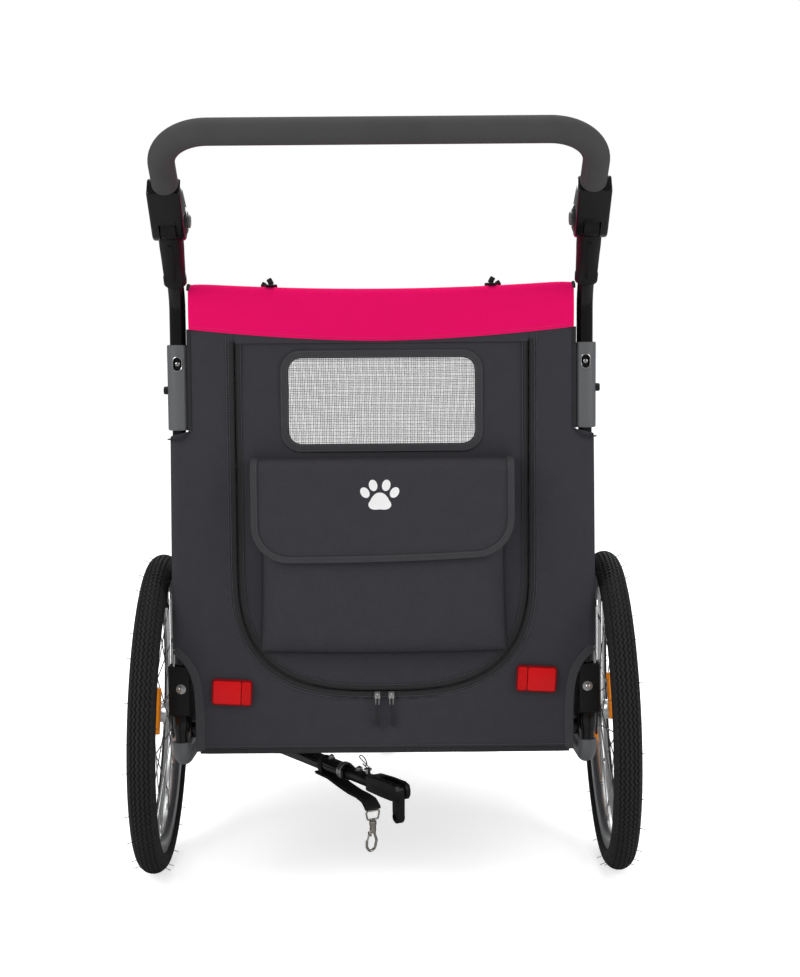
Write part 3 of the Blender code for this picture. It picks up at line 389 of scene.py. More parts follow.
def newGroup(name, inputs, outputs):
    tree = bpy.data.node_groups.new(name, "ShaderNodeTree")
    for label, kind, value in inputs:
        made = tree.interface.new_socket(label, in_out='INPUT', socket_type=kind)
        if value is not None:
            made.default_value = value
    for label, kind in outputs:
        tree.interface.new_socket(label, in_out='OUTPUT', socket_type=kind)
    return tree, tree.nodes.new("NodeGroupInput"), tree.nodes.new("NodeGroupOutput")


def makeWeaveGroup():
    # plain weave: warp and weft humps that swap places at each crossing; its tone is random mottle
    # plus painted shade, lighter on the thread crowns and darker in the gaps between them
    tree, given, out = newGroup(
        "weave",
        [("Vector", "NodeSocketVector", None), ("Threads", "NodeSocketFloat", 1200.0),
         ("Unevenness", "NodeSocketFloat", 0.35)],
        [("Height", "NodeSocketFloat"), ("Tone", "NodeSocketFloat")])
    split = tree.nodes.new("ShaderNodeSeparateXYZ")
    tree.links.new(given.outputs["Vector"], split.inputs[0])
    angle = mathNode(tree, 'MULTIPLY', given.outputs["Threads"], math.pi)
    warp = mathNode(tree, 'SINE', mathNode(tree, 'MULTIPLY', split.outputs["X"], angle))
    weft = mathNode(tree, 'SINE', mathNode(tree, 'MULTIPLY', split.outputs["Y"], angle))
    over = mathNode(tree, 'GREATER_THAN', mathNode(tree, 'MULTIPLY', warp, weft), 0.0)
    mix = addNode(tree, "ShaderNodeMix", {"data_type": 'FLOAT'})
    tree.links.new(over, mix.inputs["Factor"])
    tree.links.new(mathNode(tree, 'ABSOLUTE', warp), mix.inputs["A"])
    tree.links.new(mathNode(tree, 'ABSOLUTE', weft), mix.inputs["B"])
    slub = addNode(tree, "ShaderNodeTexNoise", Scale=420.0, Detail=3.0, Roughness=0.6)
    tree.links.new(given.outputs["Vector"], slub.inputs["Vector"])
    uneven = mathNode(tree, 'MULTIPLY', slub.outputs[0], given.outputs["Unevenness"])
    tree.links.new(mathNode(tree, 'ADD', mix.outputs[0], uneven), out.inputs["Height"])
    broad = addNode(tree, "ShaderNodeTexNoise", Scale=34.0, Detail=4.0, Roughness=0.65)
    tree.links.new(given.outputs["Vector"], broad.inputs["Vector"])
    # painted shade: the tone follows the humps, lighter on the thread crowns and darker between the
    # threads
    soft = mathNode(tree, 'MULTIPLY', mix.outputs[0], 0.45)
    fine = mathNode(tree, 'MULTIPLY', slub.outputs[0], 0.75)
    wide = mathNode(tree, 'MULTIPLY', broad.outputs[0], 0.35)
    tone = mathNode(tree, 'ADD', mathNode(tree, 'ADD', soft, fine), wide)
    tree.links.new(mathNode(tree, 'MULTIPLY', tone, 0.75), out.inputs["Tone"])
    return tree


def makeGrainGroup():
    # fine pores or orange peel, with a slow drift in tone
    tree, given, out = newGroup(
        "grain",
        [("Vector", "NodeSocketVector", None), ("Scale", "NodeSocketFloat", 900.0),
         ("Detail", "NodeSocketFloat", 3.0)],
        [("Height", "NodeSocketFloat"), ("Tone", "NodeSocketFloat")])
    fine = addNode(tree, "ShaderNodeTexNoise", Roughness=0.6)
    broad = addNode(tree, "ShaderNodeTexNoise", Scale=9.0, Detail=4.0, Roughness=0.6)
    tree.links.new(given.outputs["Vector"], fine.inputs["Vector"])
    tree.links.new(given.outputs["Vector"], broad.inputs["Vector"])
    tree.links.new(given.outputs["Scale"], fine.inputs["Scale"])
    tree.links.new(given.outputs["Detail"], fine.inputs["Detail"])
    tree.links.new(fine.outputs[0], out.inputs["Height"])
    tone = mathNode(tree, 'ADD', mathNode(tree, 'MULTIPLY', fine.outputs[0], 0.4),
                    mathNode(tree, 'MULTIPLY', broad.outputs[0], 0.6))
    tree.links.new(tone, out.inputs["Tone"])
    return tree


def makeScuffGroup():
    # long faint scratches and specks of dust
    tree, given, out = newGroup(
        "scuff",
        [("Vector", "NodeSocketVector", None), ("Scale", "NodeSocketFloat", 60.0),
         ("Amount", "NodeSocketFloat", 0.3)],
        [("Mask", "NodeSocketFloat")])
    stretch = addNode(tree, "ShaderNodeMapping", Scale=(1.0, 6.0, 0.35))
    tree.links.new(given.outputs["Vector"], stretch.inputs["Vector"])
    lines = addNode(tree, "ShaderNodeTexNoise", Detail=5.0, Roughness=0.7)
    tree.links.new(stretch.outputs[0], lines.inputs["Vector"])
    tree.links.new(given.outputs["Scale"], lines.inputs["Scale"])
    step = addNode(tree, "ShaderNodeMapRange")
    step.inputs["From Min"].default_value = 0.60
    step.inputs["From Max"].default_value = 0.78
    tree.links.new(lines.outputs[0], step.inputs["Value"])
    tree.links.new(mathNode(tree, 'MULTIPLY', step.outputs[0], given.outputs["Amount"]),
                   out.inputs["Mask"])
    return tree


groups = {"weave": makeWeaveGroup(), "grain": makeGrainGroup(), "scuff": makeScuffGroup()}


def placeGroup(tree, name, vector, **values):
    node = tree.nodes.new("ShaderNodeGroup")
    node.node_tree = groups[name]
    tree.links.new(vector, node.inputs["Vector"])
    for key, value in values.items():
        node.inputs[key].default_value = value
    return node


def newMaterial(name, look):
    mat = bpy.data.materials.new(name)
    mat.use_nodes = True
    shader = mat.node_tree.nodes["Principled BSDF"]
    shader.inputs["Base Color"].default_value = (*look["colour"], 1.0)
    shader.inputs["Roughness"].default_value = look["roughness"]
    shader.inputs["Metallic"].default_value = look.get("metallic", 0.0)
    shader.inputs["Coat Weight"].default_value = look.get("coat", 0.0)
    shader.inputs["Coat Roughness"].default_value = look.get("coatRoughness", 0.08)
    shader.inputs["Sheen Weight"].default_value = look.get("sheen", 0.0)
    shader.inputs["Sheen Roughness"].default_value = 0.5
    shader.inputs["Specular IOR Level"].default_value = look.get("specular", 0.5)
    return mat, mat.node_tree, shader


def mixTones(tree, colour, factor, low, high):
    # the colour darkened to low and lightened to high by the factor
    mix = addNode(tree, "ShaderNodeMix", {"data_type": 'RGBA'})
    mix.inputs["A"].default_value = (*[c * low for c in colour], 1.0)
    mix.inputs["B"].default_value = (*[min(1.0, c * high) for c in colour], 1.0)
    tree.links.new(factor, mix.inputs["Factor"])
    return mix.outputs["Result"]


def bumpInto(tree, shader, height, strength, distance):
    bump = addNode(tree, "ShaderNodeBump", Strength=strength, Distance=distance)
    tree.links.new(height, bump.inputs["Height"])
    tree.links.new(bump.outputs[0], shader.inputs["Normal"])


def clothMaterial(name, **look):
    mat, tree, shader = newMaterial(name, look)
    uv = addNode(tree, "ShaderNodeUVMap", {"uv_map": "cloth"})
    weave = placeGroup(tree, "weave", uv.outputs[0], Threads=look.get("threads", 1500.0))
    # the weave's tone, painted shade between the threads and random mottle, darkens and lightens
    # the colour
    tint = mixTones(tree, look["colour"], weave.outputs["Tone"], look.get("low", 0.62),
                    look.get("high", 1.42))
    tree.links.new(tint, shader.inputs["Base Color"])
    bumpInto(tree, shader, weave.outputs["Height"], look.get("bump", 0.5), 0.0003)
    return mat


def solidMaterial(name, **look):
    # painted, moulded, foamed or metal surfaces
    mat, tree, shader = newMaterial(name, look)
    place = tree.nodes.new("ShaderNodeTexCoord").outputs["Object"]
    grain = placeGroup(tree, "grain", place, Scale=look.get("grain", 900.0))
    tint = mixTones(tree, look["colour"], grain.outputs["Tone"], look.get("low", 0.85),
                    look.get("high", 1.15))
    scuff = placeGroup(tree, "scuff", place, Amount=look.get("scuff", 0.12))
    worn = addNode(tree, "ShaderNodeMix", {"data_type": 'RGBA'})
    tree.links.new(scuff.outputs["Mask"], worn.inputs["Factor"])
    tree.links.new(tint, worn.inputs["A"])
    worn.inputs["B"].default_value = (*[min(1.0, c * 1.6 + 0.02) for c in look["colour"]], 1.0)
    tree.links.new(worn.outputs["Result"], shader.inputs["Base Color"])
    rough = addNode(tree, "ShaderNodeMapRange")
    rough.inputs["To Min"].default_value = max(0.02, look["roughness"] - look.get("spread", 0.05))
    rough.inputs["To Max"].default_value = look["roughness"] + look.get("spread", 0.05)
    tree.links.new(mathNode(tree, 'ADD', grain.outputs["Tone"], scuff.outputs["Mask"]),
                   rough.inputs["Value"])
    tree.links.new(rough.outputs[0], shader.inputs["Roughness"])
    bumpInto(tree, shader, grain.outputs["Height"], look.get("bump", 0.15),
             look.get("depth", 0.0002))
    return mat


charcoal = clothMaterial("charcoalCloth", colour=(0.0385, 0.0370, 0.0435), roughness=0.92,
                         specular=0.15, threads=1300.0, bump=0.6)
pink = clothMaterial("pinkCloth", colour=(0.80, 0.004, 0.125), roughness=0.85,
                     specular=0.06, threads=1300.0, low=0.88, high=1.08, bump=0.45)
binding = clothMaterial("bindingTape", colour=(0.044, 0.043, 0.047), roughness=0.9,
                        specular=0.2, threads=700.0, bump=0.8)
zipCloth = clothMaterial("zipTape", colour=(0.017, 0.017, 0.019), roughness=0.9, threads=900.0)
webbing = clothMaterial("webbing", colour=(0.018, 0.018, 0.020), roughness=0.85, threads=520.0,
                        bump=0.9)
matCloth = clothMaterial("matCloth", colour=(0.075, 0.075, 0.085), roughness=0.9, threads=900.0)
netThread = solidMaterial("netThread", colour=(0.030, 0.030, 0.032), roughness=0.7, scuff=0.0)
thread = solidMaterial("sewingThread", colour=(0.075, 0.073, 0.080), roughness=0.7, scuff=0.0,
                       grain=3000.0)
pinkThread = solidMaterial("pinkThread", colour=(0.62, 0.010, 0.11), roughness=0.65, scuff=0.0)
zipTooth = solidMaterial("zipTooth", colour=(0.012, 0.012, 0.013), roughness=0.4, scuff=0.0)
foam = solidMaterial("gripFoam", colour=(0.058, 0.058, 0.060), roughness=0.80, grain=2600.0,
                     bump=0.5, depth=0.0004, low=0.7, high=1.3, scuff=0.05, specular=0.22)
glossBlack = solidMaterial("glossBlackPaint", colour=(0.004, 0.004, 0.0045), roughness=0.12,
                           coat=0.2, specular=0.4, grain=260.0, bump=0.05, scuff=0.03)
satinBlack = solidMaterial("satinBlackPaint", colour=(0.006, 0.006, 0.0065), roughness=0.34,
                           specular=0.3, grain=1400.0, bump=0.22, scuff=0.06)
greySatin = solidMaterial("greySatin", colour=(0.105, 0.110, 0.116), roughness=0.36,
                          specular=0.5, grain=1700.0, bump=0.25, scuff=0.06)
moulded = solidMaterial("mouldedBlack", colour=(0.012, 0.012, 0.013), roughness=0.5, grain=1500.0,
                        bump=0.3, scuff=0.05)
rubber = solidMaterial("tyreRubber", colour=(0.017, 0.017, 0.018), roughness=0.62, grain=1100.0,
                       bump=0.35, low=0.75, high=1.3, scuff=0.10, specular=0.25)
alloy = solidMaterial("rimAlloy", colour=(0.74, 0.75, 0.76), roughness=0.30, metallic=1.0,
                      grain=500.0, bump=0.04, scuff=0.10)
steel = solidMaterial("brightSteel", colour=(0.64, 0.64, 0.63), roughness=0.22, metallic=1.0,
                      grain=700.0, bump=0.04, scuff=0.10)
nickel = solidMaterial("nickelPlate", colour=(0.72, 0.68, 0.60), roughness=0.20, metallic=1.0,
                       grain=500.0, bump=0.05, scuff=0.10)
paint = solidMaterial("whitePrint", colour=(0.82, 0.82, 0.82), roughness=0.6, scuff=0.0)


def lensMaterial(name, colour, cell):
    # a moulded reflector: a pyramid pattern under a clear face, with painted shade and highlight on
    # the facets, each cell darker in its middle and lighter towards its ridges
    mat, tree, shader = newMaterial(name, {"colour": colour, "roughness": 0.22, "specular": 0.25})
    place = tree.nodes.new("ShaderNodeTexCoord").outputs["Object"]
    cells = addNode(tree, "ShaderNodeTexVoronoi", {"distance": 'CHEBYCHEV'}, Scale=cell,
                    Randomness=0.0)
    tree.links.new(place, cells.inputs["Vector"])
    # painted shade and highlight: the colour follows the pyramids, darker in each pit and lighter
    # towards the ridges
    tint = mixTones(tree, colour, cells.outputs["Distance"], 0.66, 1.25)
    tree.links.new(tint, shader.inputs["Base Color"])
    bumpInto(tree, shader, cells.outputs["Distance"], 0.35, 0.0004)
    return mat


redLens = lensMaterial("redLens", (0.64, 0.003, 0.005), 330.0)
redLensRim = lensMaterial("redLensRim", (0.22, 0.002, 0.004), 330.0)
amberLens = lensMaterial("amberLens", (0.86, 0.25, 0.008), 300.0)
print("materials made:", len(bpy.data.materials))


# ---------- geometry nodes ----------

def geometryTree(name, inputs):
    tree = bpy.data.node_groups.new(name, "GeometryNodeTree")
    tree.interface.new_socket("Geometry", in_out='INPUT', socket_type="NodeSocketGeometry")
    for label, kind, value in inputs:
        made = tree.interface.new_socket(label, in_out='INPUT', socket_type=kind)
        if value is not None:
            made.default_value = value
    tree.interface.new_socket("Geometry", in_out='OUTPUT', socket_type="NodeSocketGeometry")
    return tree, tree.nodes.new("NodeGroupInput"), tree.nodes.new("NodeGroupOutput")


def closeTree(tree, given, out, geometry):
    # every tree ends the same way: real geometry with its material
    real = tree.nodes.new("GeometryNodeRealizeInstances")
    dress = tree.nodes.new("GeometryNodeSetMaterial")
    tree.links.new(geometry, real.inputs[0])
    tree.links.new(real.outputs[0], dress.inputs["Geometry"])
    tree.links.new(given.outputs["Material"], dress.inputs["Material"])
    tree.links.new(dress.outputs[0], out.inputs["Geometry"])
    return tree


def barsAlongCurve():
    # small bars set along a curve: stitches lie along it, zip teeth across it
    tree, given, out = geometryTree("barsAlongCurve", [
        ("Pitch", "NodeSocketFloat", 0.004), ("Bar", "NodeSocketVector", (0.0006, 0.0006, 0.003)),
        ("Material", "NodeSocketMaterial", None)])
    spots = addNode(tree, "GeometryNodeCurveToPoints", {"mode": 'LENGTH'})
    tree.links.new(given.outputs["Geometry"], spots.inputs["Curve"])
    tree.links.new(given.outputs["Pitch"], spots.inputs["Length"])
    along = addNode(tree, "FunctionNodeAlignRotationToVector", {"axis": 'Z'})
    tree.links.new(spots.outputs["Tangent"], along.inputs["Vector"])
    level = addNode(tree, "FunctionNodeAlignRotationToVector", {"axis": 'Y', "pivot_axis": 'Z'},
                    Vector=(0.0, 1.0, 0.0))
    tree.links.new(along.outputs[0], level.inputs["Rotation"])
    bar = tree.nodes.new("GeometryNodeMeshCube")
    tree.links.new(given.outputs["Bar"], bar.inputs["Size"])
    setOut = tree.nodes.new("GeometryNodeInstanceOnPoints")
    tree.links.new(spots.outputs["Points"], setOut.inputs["Points"])
    tree.links.new(bar.outputs["Mesh"], setOut.inputs["Instance"])
    tree.links.new(level.outputs[0], setOut.inputs["Rotation"])
    return closeTree(tree, given, out, setOut.outputs[0])


def netThreads():
    # warp and weft of an open net, in the x, z plane about the origin
    tree, given, out = geometryTree("netThreads", [
        ("Width", "NodeSocketFloat", 0.3), ("Height", "NodeSocketFloat", 0.2),
        ("Pitch", "NodeSocketFloat", 0.0025), ("Thread", "NodeSocketFloat", 0.00045),
        ("Material", "NodeSocketMaterial", None)])

    def vectorOf(**parts):
        node = tree.nodes.new("ShaderNodeCombineXYZ")
        for key, value in parts.items():
            tree.links.new(value, node.inputs[key])
        return node.outputs[0]

    join = tree.nodes.new("GeometryNodeJoinGeometry")
    flat = mathNode(tree, 'MULTIPLY', given.outputs["Thread"], 0.6)
    for across, size, far in (("X", "Width", "Height"), ("Z", "Height", "Width")):
        line = addNode(tree, "GeometryNodeMeshLine", {"mode": 'OFFSET'})
        tree.links.new(mathNode(tree, 'DIVIDE', given.outputs[size], given.outputs["Pitch"]),
                       line.inputs["Count"])
        start = mathNode(tree, 'MULTIPLY', given.outputs[size], -0.5)
        tree.links.new(vectorOf(**{across: start}), line.inputs["Start Location"])
        tree.links.new(vectorOf(**{across: given.outputs["Pitch"]}), line.inputs["Offset"])
        cube = addNode(tree, "GeometryNodeMeshCube")
        long = "Z" if across == "X" else "X"
        cube.inputs["Vertices " + long].default_value = 14
        size3 = vectorOf(**{across: given.outputs["Thread"], "Y": flat,
                            long: given.outputs[far]})
        tree.links.new(size3, cube.inputs["Size"])
        setOut = tree.nodes.new("GeometryNodeInstanceOnPoints")
        tree.links.new(line.outputs["Mesh"], setOut.inputs["Points"])
        tree.links.new(cube.outputs["Mesh"], setOut.inputs["Instance"])
        tree.links.new(setOut.outputs[0], join.inputs[0])
    return closeTree(tree, given, out, join.outputs[0])


def copiesRoundAxle():
    # the given mesh repeated evenly about the Z axis, with its own turn at the start
    tree, given, out = geometryTree("copiesRoundAxle", [
        ("Count", "NodeSocketInt", 7), ("Start", "NodeSocketFloat", 0.0),
        ("Jitter", "NodeSocketFloat", 0.0), ("Material", "NodeSocketMaterial", None)])
    line = tree.nodes.new("GeometryNodeMeshLine")
    line.mode = 'OFFSET'
    line.inputs["Offset"].default_value = (0, 0, 0)
    tree.links.new(given.outputs["Count"], line.inputs["Count"])
    index = tree.nodes.new("GeometryNodeInputIndex")
    stray = addNode(tree, "FunctionNodeRandomValue", {"data_type": 'FLOAT'})
    stray.inputs[2].default_value = -1.0
    stray.inputs[3].default_value = 1.0
    stray.inputs["Seed"].default_value = 7

    share = mathNode(tree, 'DIVIDE', index.outputs[0], given.outputs["Count"])
    turn = mathNode(tree, 'MULTIPLY', share, 2 * math.pi)
    turn = mathNode(tree, 'ADD', turn, given.outputs["Start"])
    wander = mathNode(tree, 'MULTIPLY', stray.outputs[1], given.outputs["Jitter"])
    turn = mathNode(tree, 'ADD', turn, wander)
    angles = tree.nodes.new("ShaderNodeCombineXYZ")
    tree.links.new(turn, angles.inputs["Z"])
    setOut = tree.nodes.new("GeometryNodeInstanceOnPoints")
    tree.links.new(line.outputs["Mesh"], setOut.inputs["Points"])
    tree.links.new(given.outputs["Geometry"], setOut.inputs["Instance"])
    tree.links.new(angles.outputs[0], setOut.inputs["Rotation"])
    return closeTree(tree, given, out, setOut.outputs[0])


trees = {"bars": barsAlongCurve(), "net": netThreads(), "round": copiesRoundAxle()}


def grown(name, base, tree, settings):
    # the plain mesh that a tree makes from the base mesh or curve
    obj = bpy.data.objects.new("seed", base)
    bpy.context.scene.collection.objects.link(obj)
    mod = obj.modifiers.new("nodes", "NODES")
    mod.node_group = trees[tree]
    sockets = {s.name: s.identifier for s in trees[tree].interface.items_tree
               if s.in_out == 'INPUT'}
    for key, value in settings.items():
        mod[sockets[key]] = value
    graph = bpy.context.evaluated_depsgraph_get()
    made = bpy.data.meshes.new_from_object(obj.evaluated_get(graph))
    obj.modifiers.remove(mod)
    bpy.data.objects.remove(obj)
    made.name = name
    return made


def curveOf(paths):
    curve = bpy.data.curves.new("run", 'CURVE')
    curve.dimensions = '3D'
    for path in paths:
        spline = curve.splines.new('POLY')
        spline.points.add(len(path) - 1)
        for point, co in zip(spline.points, path):
            point.co = (*co, 1.0)
    return curve


# rows of stitches are gathered here and sewn at the end, one mesh for each body and thread
seams = {}


def sew(body, threadName, path):
    seams.setdefault((body, threadName), []).append([Vector(p) for p in path])


# ---------- camera, floor and lights ----------

view = {"away": 2.891, "height": 0.870, "aside": 0.0185, "down": 5.4, "turn": -0.15, "roll": -0.46,
        "lens": 69.09}


def makeCamera():
    data = bpy.data.cameras.new("camera")
    data.sensor_width = 36.0
    data.lens = view["lens"]
    camera = bpy.data.objects.new("camera", data)
    bpy.context.scene.collection.objects.link(camera)
    look = (Matrix.Rotation(math.radians(view["turn"]), 4, 'Z')
            @ Matrix.Rotation(math.radians(90 - view["down"]), 4, 'X')
            @ Matrix.Rotation(math.radians(view["roll"]), 4, 'Z'))
    spot = at(view["aside"], -view["away"], view["height"])
    camera.matrix_world = Matrix.Translation(spot) @ look
    bpy.context.scene.camera = camera


studio = {
    "floorSize": 60.0,
    "worldLight": 0.63,
    "worldSeen": 1.0,
    "worldShine": 0.16,
    "floorGlow": 0.62,
    "panels": [   # place, aim, width, height, watts
        ((-2.6, -2.2, 2.3), (0.0, -0.4, 0.6), 1.8, 2.4, 46),
        ((2.8, -1.8, 2.0), (0.0, -0.4, 0.6), 1.2, 2.2, 30),
        ((0.0, 0.4, 3.4), (0.0, -0.2, 0.6), 2.4, 2.4, 44),
        ((0.5, 3.0, 2.2), (0.0, 0.3, 0.6), 2.6, 1.8, 36),
    ],
}


def makeStudio():
    mesh = gridMesh("floor", lambda u, v: Vector(((u - 0.5) * studio["floorSize"],
                                                  (v - 0.5) * studio["floorSize"], 0.0)), 8, 8)
    floor = bpy.data.objects.new("studio_floor", facing(mesh, (0, 0, 1)))
    bpy.context.scene.collection.objects.link(floor)
    mat, tree, shader = newMaterial("paleFloor", {"colour": (0.93, 0.93, 0.93), "roughness": 0.75})
    shader.inputs["Emission Color"].default_value = (1.0, 1.0, 1.0, 1.0)
    # it glows for the camera only, and looks dim in shiny paint
    rays = tree.nodes.new("ShaderNodeLightPath")
    glow = addNode(tree, "ShaderNodeMapRange")
    glow.inputs["To Max"].default_value = studio["floorGlow"]
    tree.links.new(rays.outputs["Is Camera Ray"], glow.inputs["Value"])
    tree.links.new(glow.outputs[0], shader.inputs["Emission Strength"])
    dim = addNode(tree, "ShaderNodeMix", {"data_type": 'RGBA'})
    dim.inputs["A"].default_value = (0.93, 0.93, 0.93, 1.0)
    dim.inputs["B"].default_value = (0.30, 0.30, 0.30, 1.0)
    tree.links.new(rays.outputs["Is Glossy Ray"], dim.inputs["Factor"])
    tree.links.new(dim.outputs["Result"], shader.inputs["Base Color"])
    mesh.materials.append(mat)
    world = bpy.data.worlds.new("studio")
    world.use_nodes = True
    background = world.node_tree.nodes["Background"]
    background.inputs["Color"].default_value = (1.0, 1.0, 1.0, 1.0)
    # plain white behind the object, and a softer white that lights it
    level = addNode(world.node_tree, "ShaderNodeMapRange")
    level.inputs["To Min"].default_value = studio["worldLight"]
    level.inputs["To Max"].default_value = studio["worldSeen"]
    rays = addNode(world.node_tree, "ShaderNodeLightPath")
    world.node_tree.links.new(rays.outputs["Is Camera Ray"], level.inputs["Value"])
    shine = addNode(world.node_tree, "ShaderNodeMapRange")
    shine.inputs["To Max"].default_value = studio["worldShine"]
    world.node_tree.links.new(rays.outputs["Is Glossy Ray"], shine.inputs["Value"])
    world.node_tree.links.new(level.outputs[0], shine.inputs["To Min"])
    world.node_tree.links.new(shine.outputs[0], background.inputs["Strength"])
    bpy.context.scene.world = world
    for place, aim, wide, high, watts in studio["panels"]:
        data = bpy.data.lights.new("softbox", 'AREA')
        data.shape = 'RECTANGLE'
        data.size = wide
        data.size_y = high
        data.energy = watts
        lamp = bpy.data.objects.new("softbox", data)
        bpy.context.scene.collection.objects.link(lamp)
        lamp.location = Vector(place)
        lamp.rotation_euler = (Vector(aim) - Vector(place)).to_track_quat('-Z', 'Y').to_euler()
    bpy.context.scene.view_settings.view_transform = 'Standard'


makeCamera()
makeStudio()
print("camera, floor and lights set")


# ---------- cabin cloth ----------

cabin = {
    "rear": lowOf("rear_panel").y - axleY,         # outer face of the rear cloth
    "front": highOf("front_panel").y - axleY,
    "hem": lowOf("rear_panel").z,
    "seam": highOf("rear_panel").z,
    "knee": 0.360,
    "roofFront": 0.400, "roofFrontZ": 0.885, "roofRearZ": 0.904, "edgeLift": 0.010,
    "topHalf": 0.2815, "flare": 0.0295, "flarePower": 2.5,
    "uprightY": midOf("left_upright").y - axleY, "uprightTop": 0.3005, "splay": 0.010,
    "boltZ": 0.757, "wrap": 0.0132,
    "notch": 0.693, "cornerTop": 0.369, "cornerX": 0.2765,
    "seamSmile": 0.0185,                            # the pink band's edge rises at its ends
    "cloth": 0.0016,
}
cabin["slope"] = (cabin["roofFrontZ"] - cabin["knee"]) / (cabin["front"] - cabin["roofFront"])
cabin["slopeLength"] = math.hypot(cabin["roofFrontZ"] - cabin["knee"],
                                  cabin["front"] - cabin["roofFront"])


def uprightX(z):
    return cabin["uprightTop"] + cabin["splay"] * max(0.0, cabin["boltZ"] - z)


def cabinHalf(z):
    share = (cabin["roofRearZ"] - z) / (cabin["roofRearZ"] - cabin["hem"])
    return cabin["topHalf"] + cabin["flare"] * min(1.0, max(0.0, share)) ** cabin["flarePower"]


def roofZ(x, y):
    back = (cabin["roofFront"] - y) / (cabin["roofFront"] - cabin["rear"])
    lift = cabin["edgeLift"] * (x / cabin["topHalf"]) ** 2
    return cabin["roofFrontZ"] + back * (cabin["roofRearZ"] - cabin["roofFrontZ"] + lift)


def seamLine(x):
    return cabin["seam"] + cabin["seamSmile"] * (abs(x) / cabin["topHalf"]) ** 1.7


def ease(t):
    t = min(1.0, max(0.0, t))
    return t * t * (3 - 2 * t)


def billow(x, z, size, seed):
    # slow swells with a few smaller creases on them
    slow = noise.noise(Vector((x * 5.0, z * 4.0, seed)))
    quick = noise.noise(Vector((x * 21.0, z * 15.0, seed + 4.0)))
    fine = noise.noise(Vector((x * 70.0, z * 60.0, seed + 9.0)))
    return size * (slow + 0.35 * quick + 0.10 * fine)


def rearPlace(across, z, crease=0.0):
    # a place on the rear cloth: flat, then round the upright
    s = 1 if across >= 0 else -1
    a = abs(across)
    x0 = uprightX(z)
    wrap = cabin["wrap"]
    if a < x0:
        y = cabin["rear"] + (cabin["uprightY"] - wrap - cabin["rear"]) * ease((a - x0) / 0.05 + 1)
        y -= crease
        return at(s * a, y, z)
    turn = (a - x0) / wrap - math.pi / 2
    return at(s * (x0 + wrap * math.cos(turn)), cabin["uprightY"] + wrap * math.sin(turn), z)


door = {"half": 0.216, "bottom": 0.306, "shoulder": 0.500, "power": 2.9, "steps": 60,
        "hingeZ": highOf("rear_door").z}


def doorCurve(inset, start, end, steps):
    # part of the U, by angle from the right shoulder (0) to the bottom (90) and on
    half = door["half"] - inset
    drop = door["shoulder"] - door["bottom"] - inset
    out = []
    for k in range(steps + 1):
        a = math.radians(start + (end - start) * k / steps)
        x = half * math.copysign(abs(math.cos(a)) ** (2 / door["power"]), math.cos(a))
        out.append((x, door["shoulder"] - drop * abs(math.sin(a)) ** (2 / door["power"])))
    return out


def doorPath(inset, top):
    # the whole U from the right top corner to the left one
    half = door["half"] - inset
    return [(half, top)] + doorCurve(inset, 0, 180, door["steps"]) + [(-half, top)]


def cornerCut(steps=24):
    # the cut-out that shows the axle bracket: top, outer end first
    out = []
    for k in range(steps + 1):
        t = (k / steps) ** 1.5
        z = cabin["cornerTop"] - 0.165 * t
        if z > cabin["hem"]:
            out.append((cabin["cornerX"] + 0.036 * (1 - t) ** 6, z))
    out.append((cabin["cornerX"], cabin["hem"]))
    return out


def meshFromRows(name, rows):
    width = len(rows[0])
    faces = [(j * width + i, j * width + i + 1, (j + 1) * width + i + 1, (j + 1) * width + i)
             for j in range(len(rows) - 1) for i in range(width - 1)]
    return meshFrom(name, [p for row in rows for p in row], faces)


rearPanel = {"rings": 26, "swell": 0.0022, "pucker": 0.0009, "wave": 0.021, "hemDrop": 0.004,
             "hemHalf": 0.28, "wrapEnd": 0.0385, "notchX": 0.2835}


def rearHalf(s):
    # one side of the rear cloth, lofted from the door's edge to the outer edge
    z0, z1, notchX = cabin["notch"], cabin["cornerTop"], rearPanel["notchX"]
    top = seamLine(door["half"])
    edge = [(uprightX(z) + rearPanel["wrapEnd"], z) for z in (z0 - 0.010, door["shoulder"], z1)]
    cut = cornerCut()
    inner = [[(door["half"], top), (door["half"], z0 + 0.003)],
             [(door["half"], z0 + 0.003), (door["half"], z0 - 0.010)],
             [(door["half"], z0 - 0.010), (door["half"], door["shoulder"])],
             doorCurve(0, 0, 20, 12), doorCurve(0, 20, 30, 8), doorCurve(0, 30, 55, 16),
             doorCurve(0, 55, 90, 24)]
    outer = [[(notchX, seamLine(notchX)), (notchX, z0 + 0.003)],
             [(notchX, z0 + 0.003), edge[0]], [edge[0], edge[1]], [edge[1], edge[2]],
             [edge[2], cut[0]], cut, [cut[-1], (0.0, cabin["hem"])]]
    counts = (26, 6, 34, 26, 10, 30, 52)
    hemStart = sum(counts[:-1])
    a, b = [], []
    for first, second, count in zip(inner, outer, counts):
        a += spaced(first, count)[:-1]
        b += spaced(second, count)[:-1]
    a.append((0.0, door["bottom"]))
    b.append((0.0, cabin["hem"]))
    rows = []
    run = 0.0
    for k, (p, q) in enumerate(zip(a, b)):
        run += math.dist(p, a[k - 1]) if k else 0.0
        row = []
        for j in range(rearPanel["rings"] + 1):
            t = j / rearPanel["rings"]
            x = p[0] + (q[0] - p[0]) * t
            z = p[1] + (q[1] - p[1]) * t
            pull = math.exp(-t * 7) * math.sin(run / rearPanel["wave"] * 2 * math.pi
                                               + 2.5 * noise.noise(Vector((run * 9, s, 0))))
            rise = billow(s * x, z, rearPanel["swell"], 3.0) * ease(t * 5) * ease((1 - t) * 6)
            if k >= hemStart and j == rearPanel["rings"]:
                across = min(1.0, x / rearPanel["hemHalf"])
                z -= rearPanel["hemDrop"] * math.sin(math.pi * across)
            row.append(rearPlace(s * x, z, rise + rearPanel["pucker"] * pull * ease(t * 9)))
        rows.append(row)
    return meshFromRows("half", rows)


